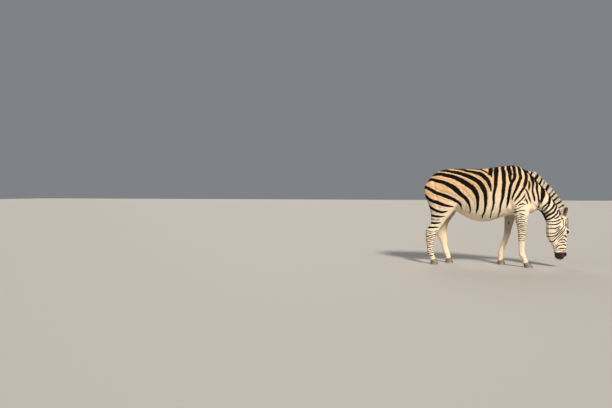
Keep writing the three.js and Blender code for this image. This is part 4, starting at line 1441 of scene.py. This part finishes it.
def tube(points, radius, around=8):
    """A closed ring of a tube."""
    count = len(points)
    along = unit(np.roll(points, -1, axis=0) - np.roll(points, 1, axis=0))
    out = unit(points - points.mean(axis=0))
    side = unit(np.cross(along, out))
    out = np.cross(side, along)
    turn = np.linspace(0, 2 * math.pi, around, endpoint=False)
    ring = (points[:, None] + radius * (np.cos(turn)[None, :, None] * out[:, None]
                                        + np.sin(turn)[None, :, None] * side[:, None]))
    i, j = np.indices((count, around)).reshape(2, -1)
    a, b = i * around + j, i * around + (j + 1) % around
    c, d = (a + around) % (count * around), (b + around) % (count * around)
    return ring.reshape(-1, 3), np.column_stack([a, c, b, b, c, d]).reshape(-1, 3)


def eyeball(hand, side_name, mat):
    middle, long, lids, look = eye_axes(hand)
    v, t = ball(np.zeros(3), 1.0, 40, 56)
    cornea = ramp(v[:, 2], 0.74, 0.95)
    v = v * (EYE_RADIUS - 0.3 + CORNEA_RISE * cornea)[:, None]
    q = v[:, :1] * long + v[:, 1:2] * lids + v[:, 2:] * look
    if np.cross(long, lids) @ look < 0:
        t = t[:, ::-1]
    eye = make(f"eyeball_{side_name}", row(middle + q), t)
    # the back of the ball counts as far outside the iris
    front = v[:, 2] > 0
    give(eye, {"eye_u": np.where(front, v[:, 0], 30), "eye_v": np.where(front, v[:, 1], 30)})
    eye.data.materials.append(mat)
    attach(eye, "root")
    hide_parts(f"eye_{side_name}")


def lid_rim(hand, side_name, mat):
    """The moist rim round the slit of an eye, with three rows of lashes on the upper lid."""
    middle, long, lids, look = eye_axes(hand)
    place = np.linspace(-SLIT_HALF, SLIT_HALF, LASHES + 8)
    u = np.concatenate([place, place[-2:0:-1]])
    v = np.concatenate([lid_line(place, True), lid_line(place[-2:0:-1], False)])
    deep = np.sqrt(np.maximum((LID_RADIUS + 0.1) ** 2 - u ** 2 - v ** 2, 0))
    rim = middle + u[:, None] * long + v[:, None] * lids + deep[:, None] * look
    parts = [tube(rim, RIM_RADIUS)]
    bearing = slice(4, 4 + LASHES)
    lash_way = unit(look * 0.75 + lids * 0.35 + long * (u[bearing] / 40)[:, None])
    wide = 0.75 * np.array([[1, 0.9, 0.7, 0.45, 0]]) * np.ones((LASHES, 1))
    for _ in range(3):
        size = RANDOM.uniform(9, 15, (LASHES, 1))
        way = unit(lash_way + 0.12 * RANDOM.normal(size=(LASHES, 3)))
        lashes = curved(rim[bearing], way, -lids * 0.35, size, 5)
        parts.append(locks(lashes, np.tile(long, (LASHES, 1)), wide, 0.6)[:2])
    v, t = joined(parts)
    rims = make(f"lid_rims_{side_name}", row(v), t)
    rims.data.materials.append(mat)
    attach(rims, "root")


EYE_SHINE, LID = eye_material(), lid_material()
for hand, side_name in SIDES:
    eyeball(hand, side_name, EYE_SHINE)
    lid_rim(hand, side_name, LID)

# ---- whiskers
WHISKERS = 130
down, front, _ = head_frame(MIDDLE)
root, n, _, values, uv = seed(FACE_AREA * (BARE_SKIN_AND_PAINTED_SHADE > 0.6) * (down > 515) * (front < -40), WHISKERS)
size = RANDOM.uniform(12, 30, (WHISKERS, 1))
way = unit(n + 0.4 * DOWN + 0.2 * RANDOM.normal(size=(WHISKERS, 3)))
width = 0.7 * np.array([[1, 0.9, 0.7, 0.5, 0]]) * np.ones((WHISKERS, 1))
hair_piece("whiskers", curved(root - n, way, DOWN * 0.25, size, 5), unit(np.cross(way, DOWN)),
           width, 0.6, values, uv)


# ---- hooves
HOOF_GRID = 0.0022
# height under which the sole is flat, and the growth rings' waves a millimetre
SOLE = 2.2
RINGS = 1.25
HORN_DARK = (0.055, 0.043, 0.034)
HORN_LIGHT = (0.26, 0.20, 0.15)
HORN_RING = (0.34, 0.27, 0.20)
DUST = (0.36, 0.27, 0.18)


def hoof_material():
    """Streaked grey horn with growth rings, dusty near the ground."""
    net = Net("hoof")
    where, height = net.place(), net.value("ring")
    growth = net.math("SINE", net.times(net.add(height, net.times(net.noise(where, 60, 2), 3.0)), 1.5))
    streak = net.noise(net.value("grain"), 420, 4)
    horn = net.mix(net.fit(streak, 0.3, 0.72), HORN_DARK, HORN_LIGHT)
    horn = net.mix(net.fit(growth, 0.2, 1.0, 0.0, 0.14), horn, HORN_RING)
    dust = net.add(height, net.times(net.noise(where, 90, 3), 30.0))
    horn = net.mix(net.fit(dust, 34, 8, 0.0, 0.65), horn, DUST)
    net.surface(Base_Color=horn, Roughness=net.fit(streak, 0.3, 0.7, 0.42, 0.66),
                Normal=net.bump(streak, 0.35, 0.0006, net.bump(growth, 0.15, 0.0006)))
    return net.material


def hoof(name, mat):
    """A hoof with growth rings, a slightly fuller shape all over, and a flat sole."""
    horn = make(name.replace("hoof", "horn"), *arrays(NODES[name].data))
    modify(horn, "REMESH", mode="VOXEL", voxel_size=HOOF_GRID)
    modify(horn, "SMOOTH", factor=0.6, iterations=14)
    modify(horn, "DECIMATE", ratio=0.5)
    v, t = applied(horn)
    p, n = animal(v), normals(v, t)
    z = p[:, 2]
    rings = 0.35 * np.sin(z * RINGS) * ramp(z, 6, 14) * ramp(np.abs(n[:, 2]), 0.9, 0.6)
    p = p + n * (rings + 0.6)[:, None]
    p[:, 2] = np.where(z < SOLE, 0, np.maximum(p[:, 2], 0))
    place_points(horn, p)
    middle = p.mean(axis=0)
    turn = np.arctan2(p[:, 1] - middle[1], p[:, 0] - middle[0])
    streaks = np.column_stack([np.cos(turn) * 0.05, np.sin(turn) * 0.05, z * 0.00012])
    give(horn, {"ring": z, "grain": streaks})
    rounded(horn.data)
    horn.data.materials.append(mat)
    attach(horn, "root")
    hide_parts(name)


HORN = hoof_material()
for name in ("hoof_fore_right", "hoof_fore_left", "hoof_hind_right", "hoof_hind_left"):
    hoof(name, HORN)
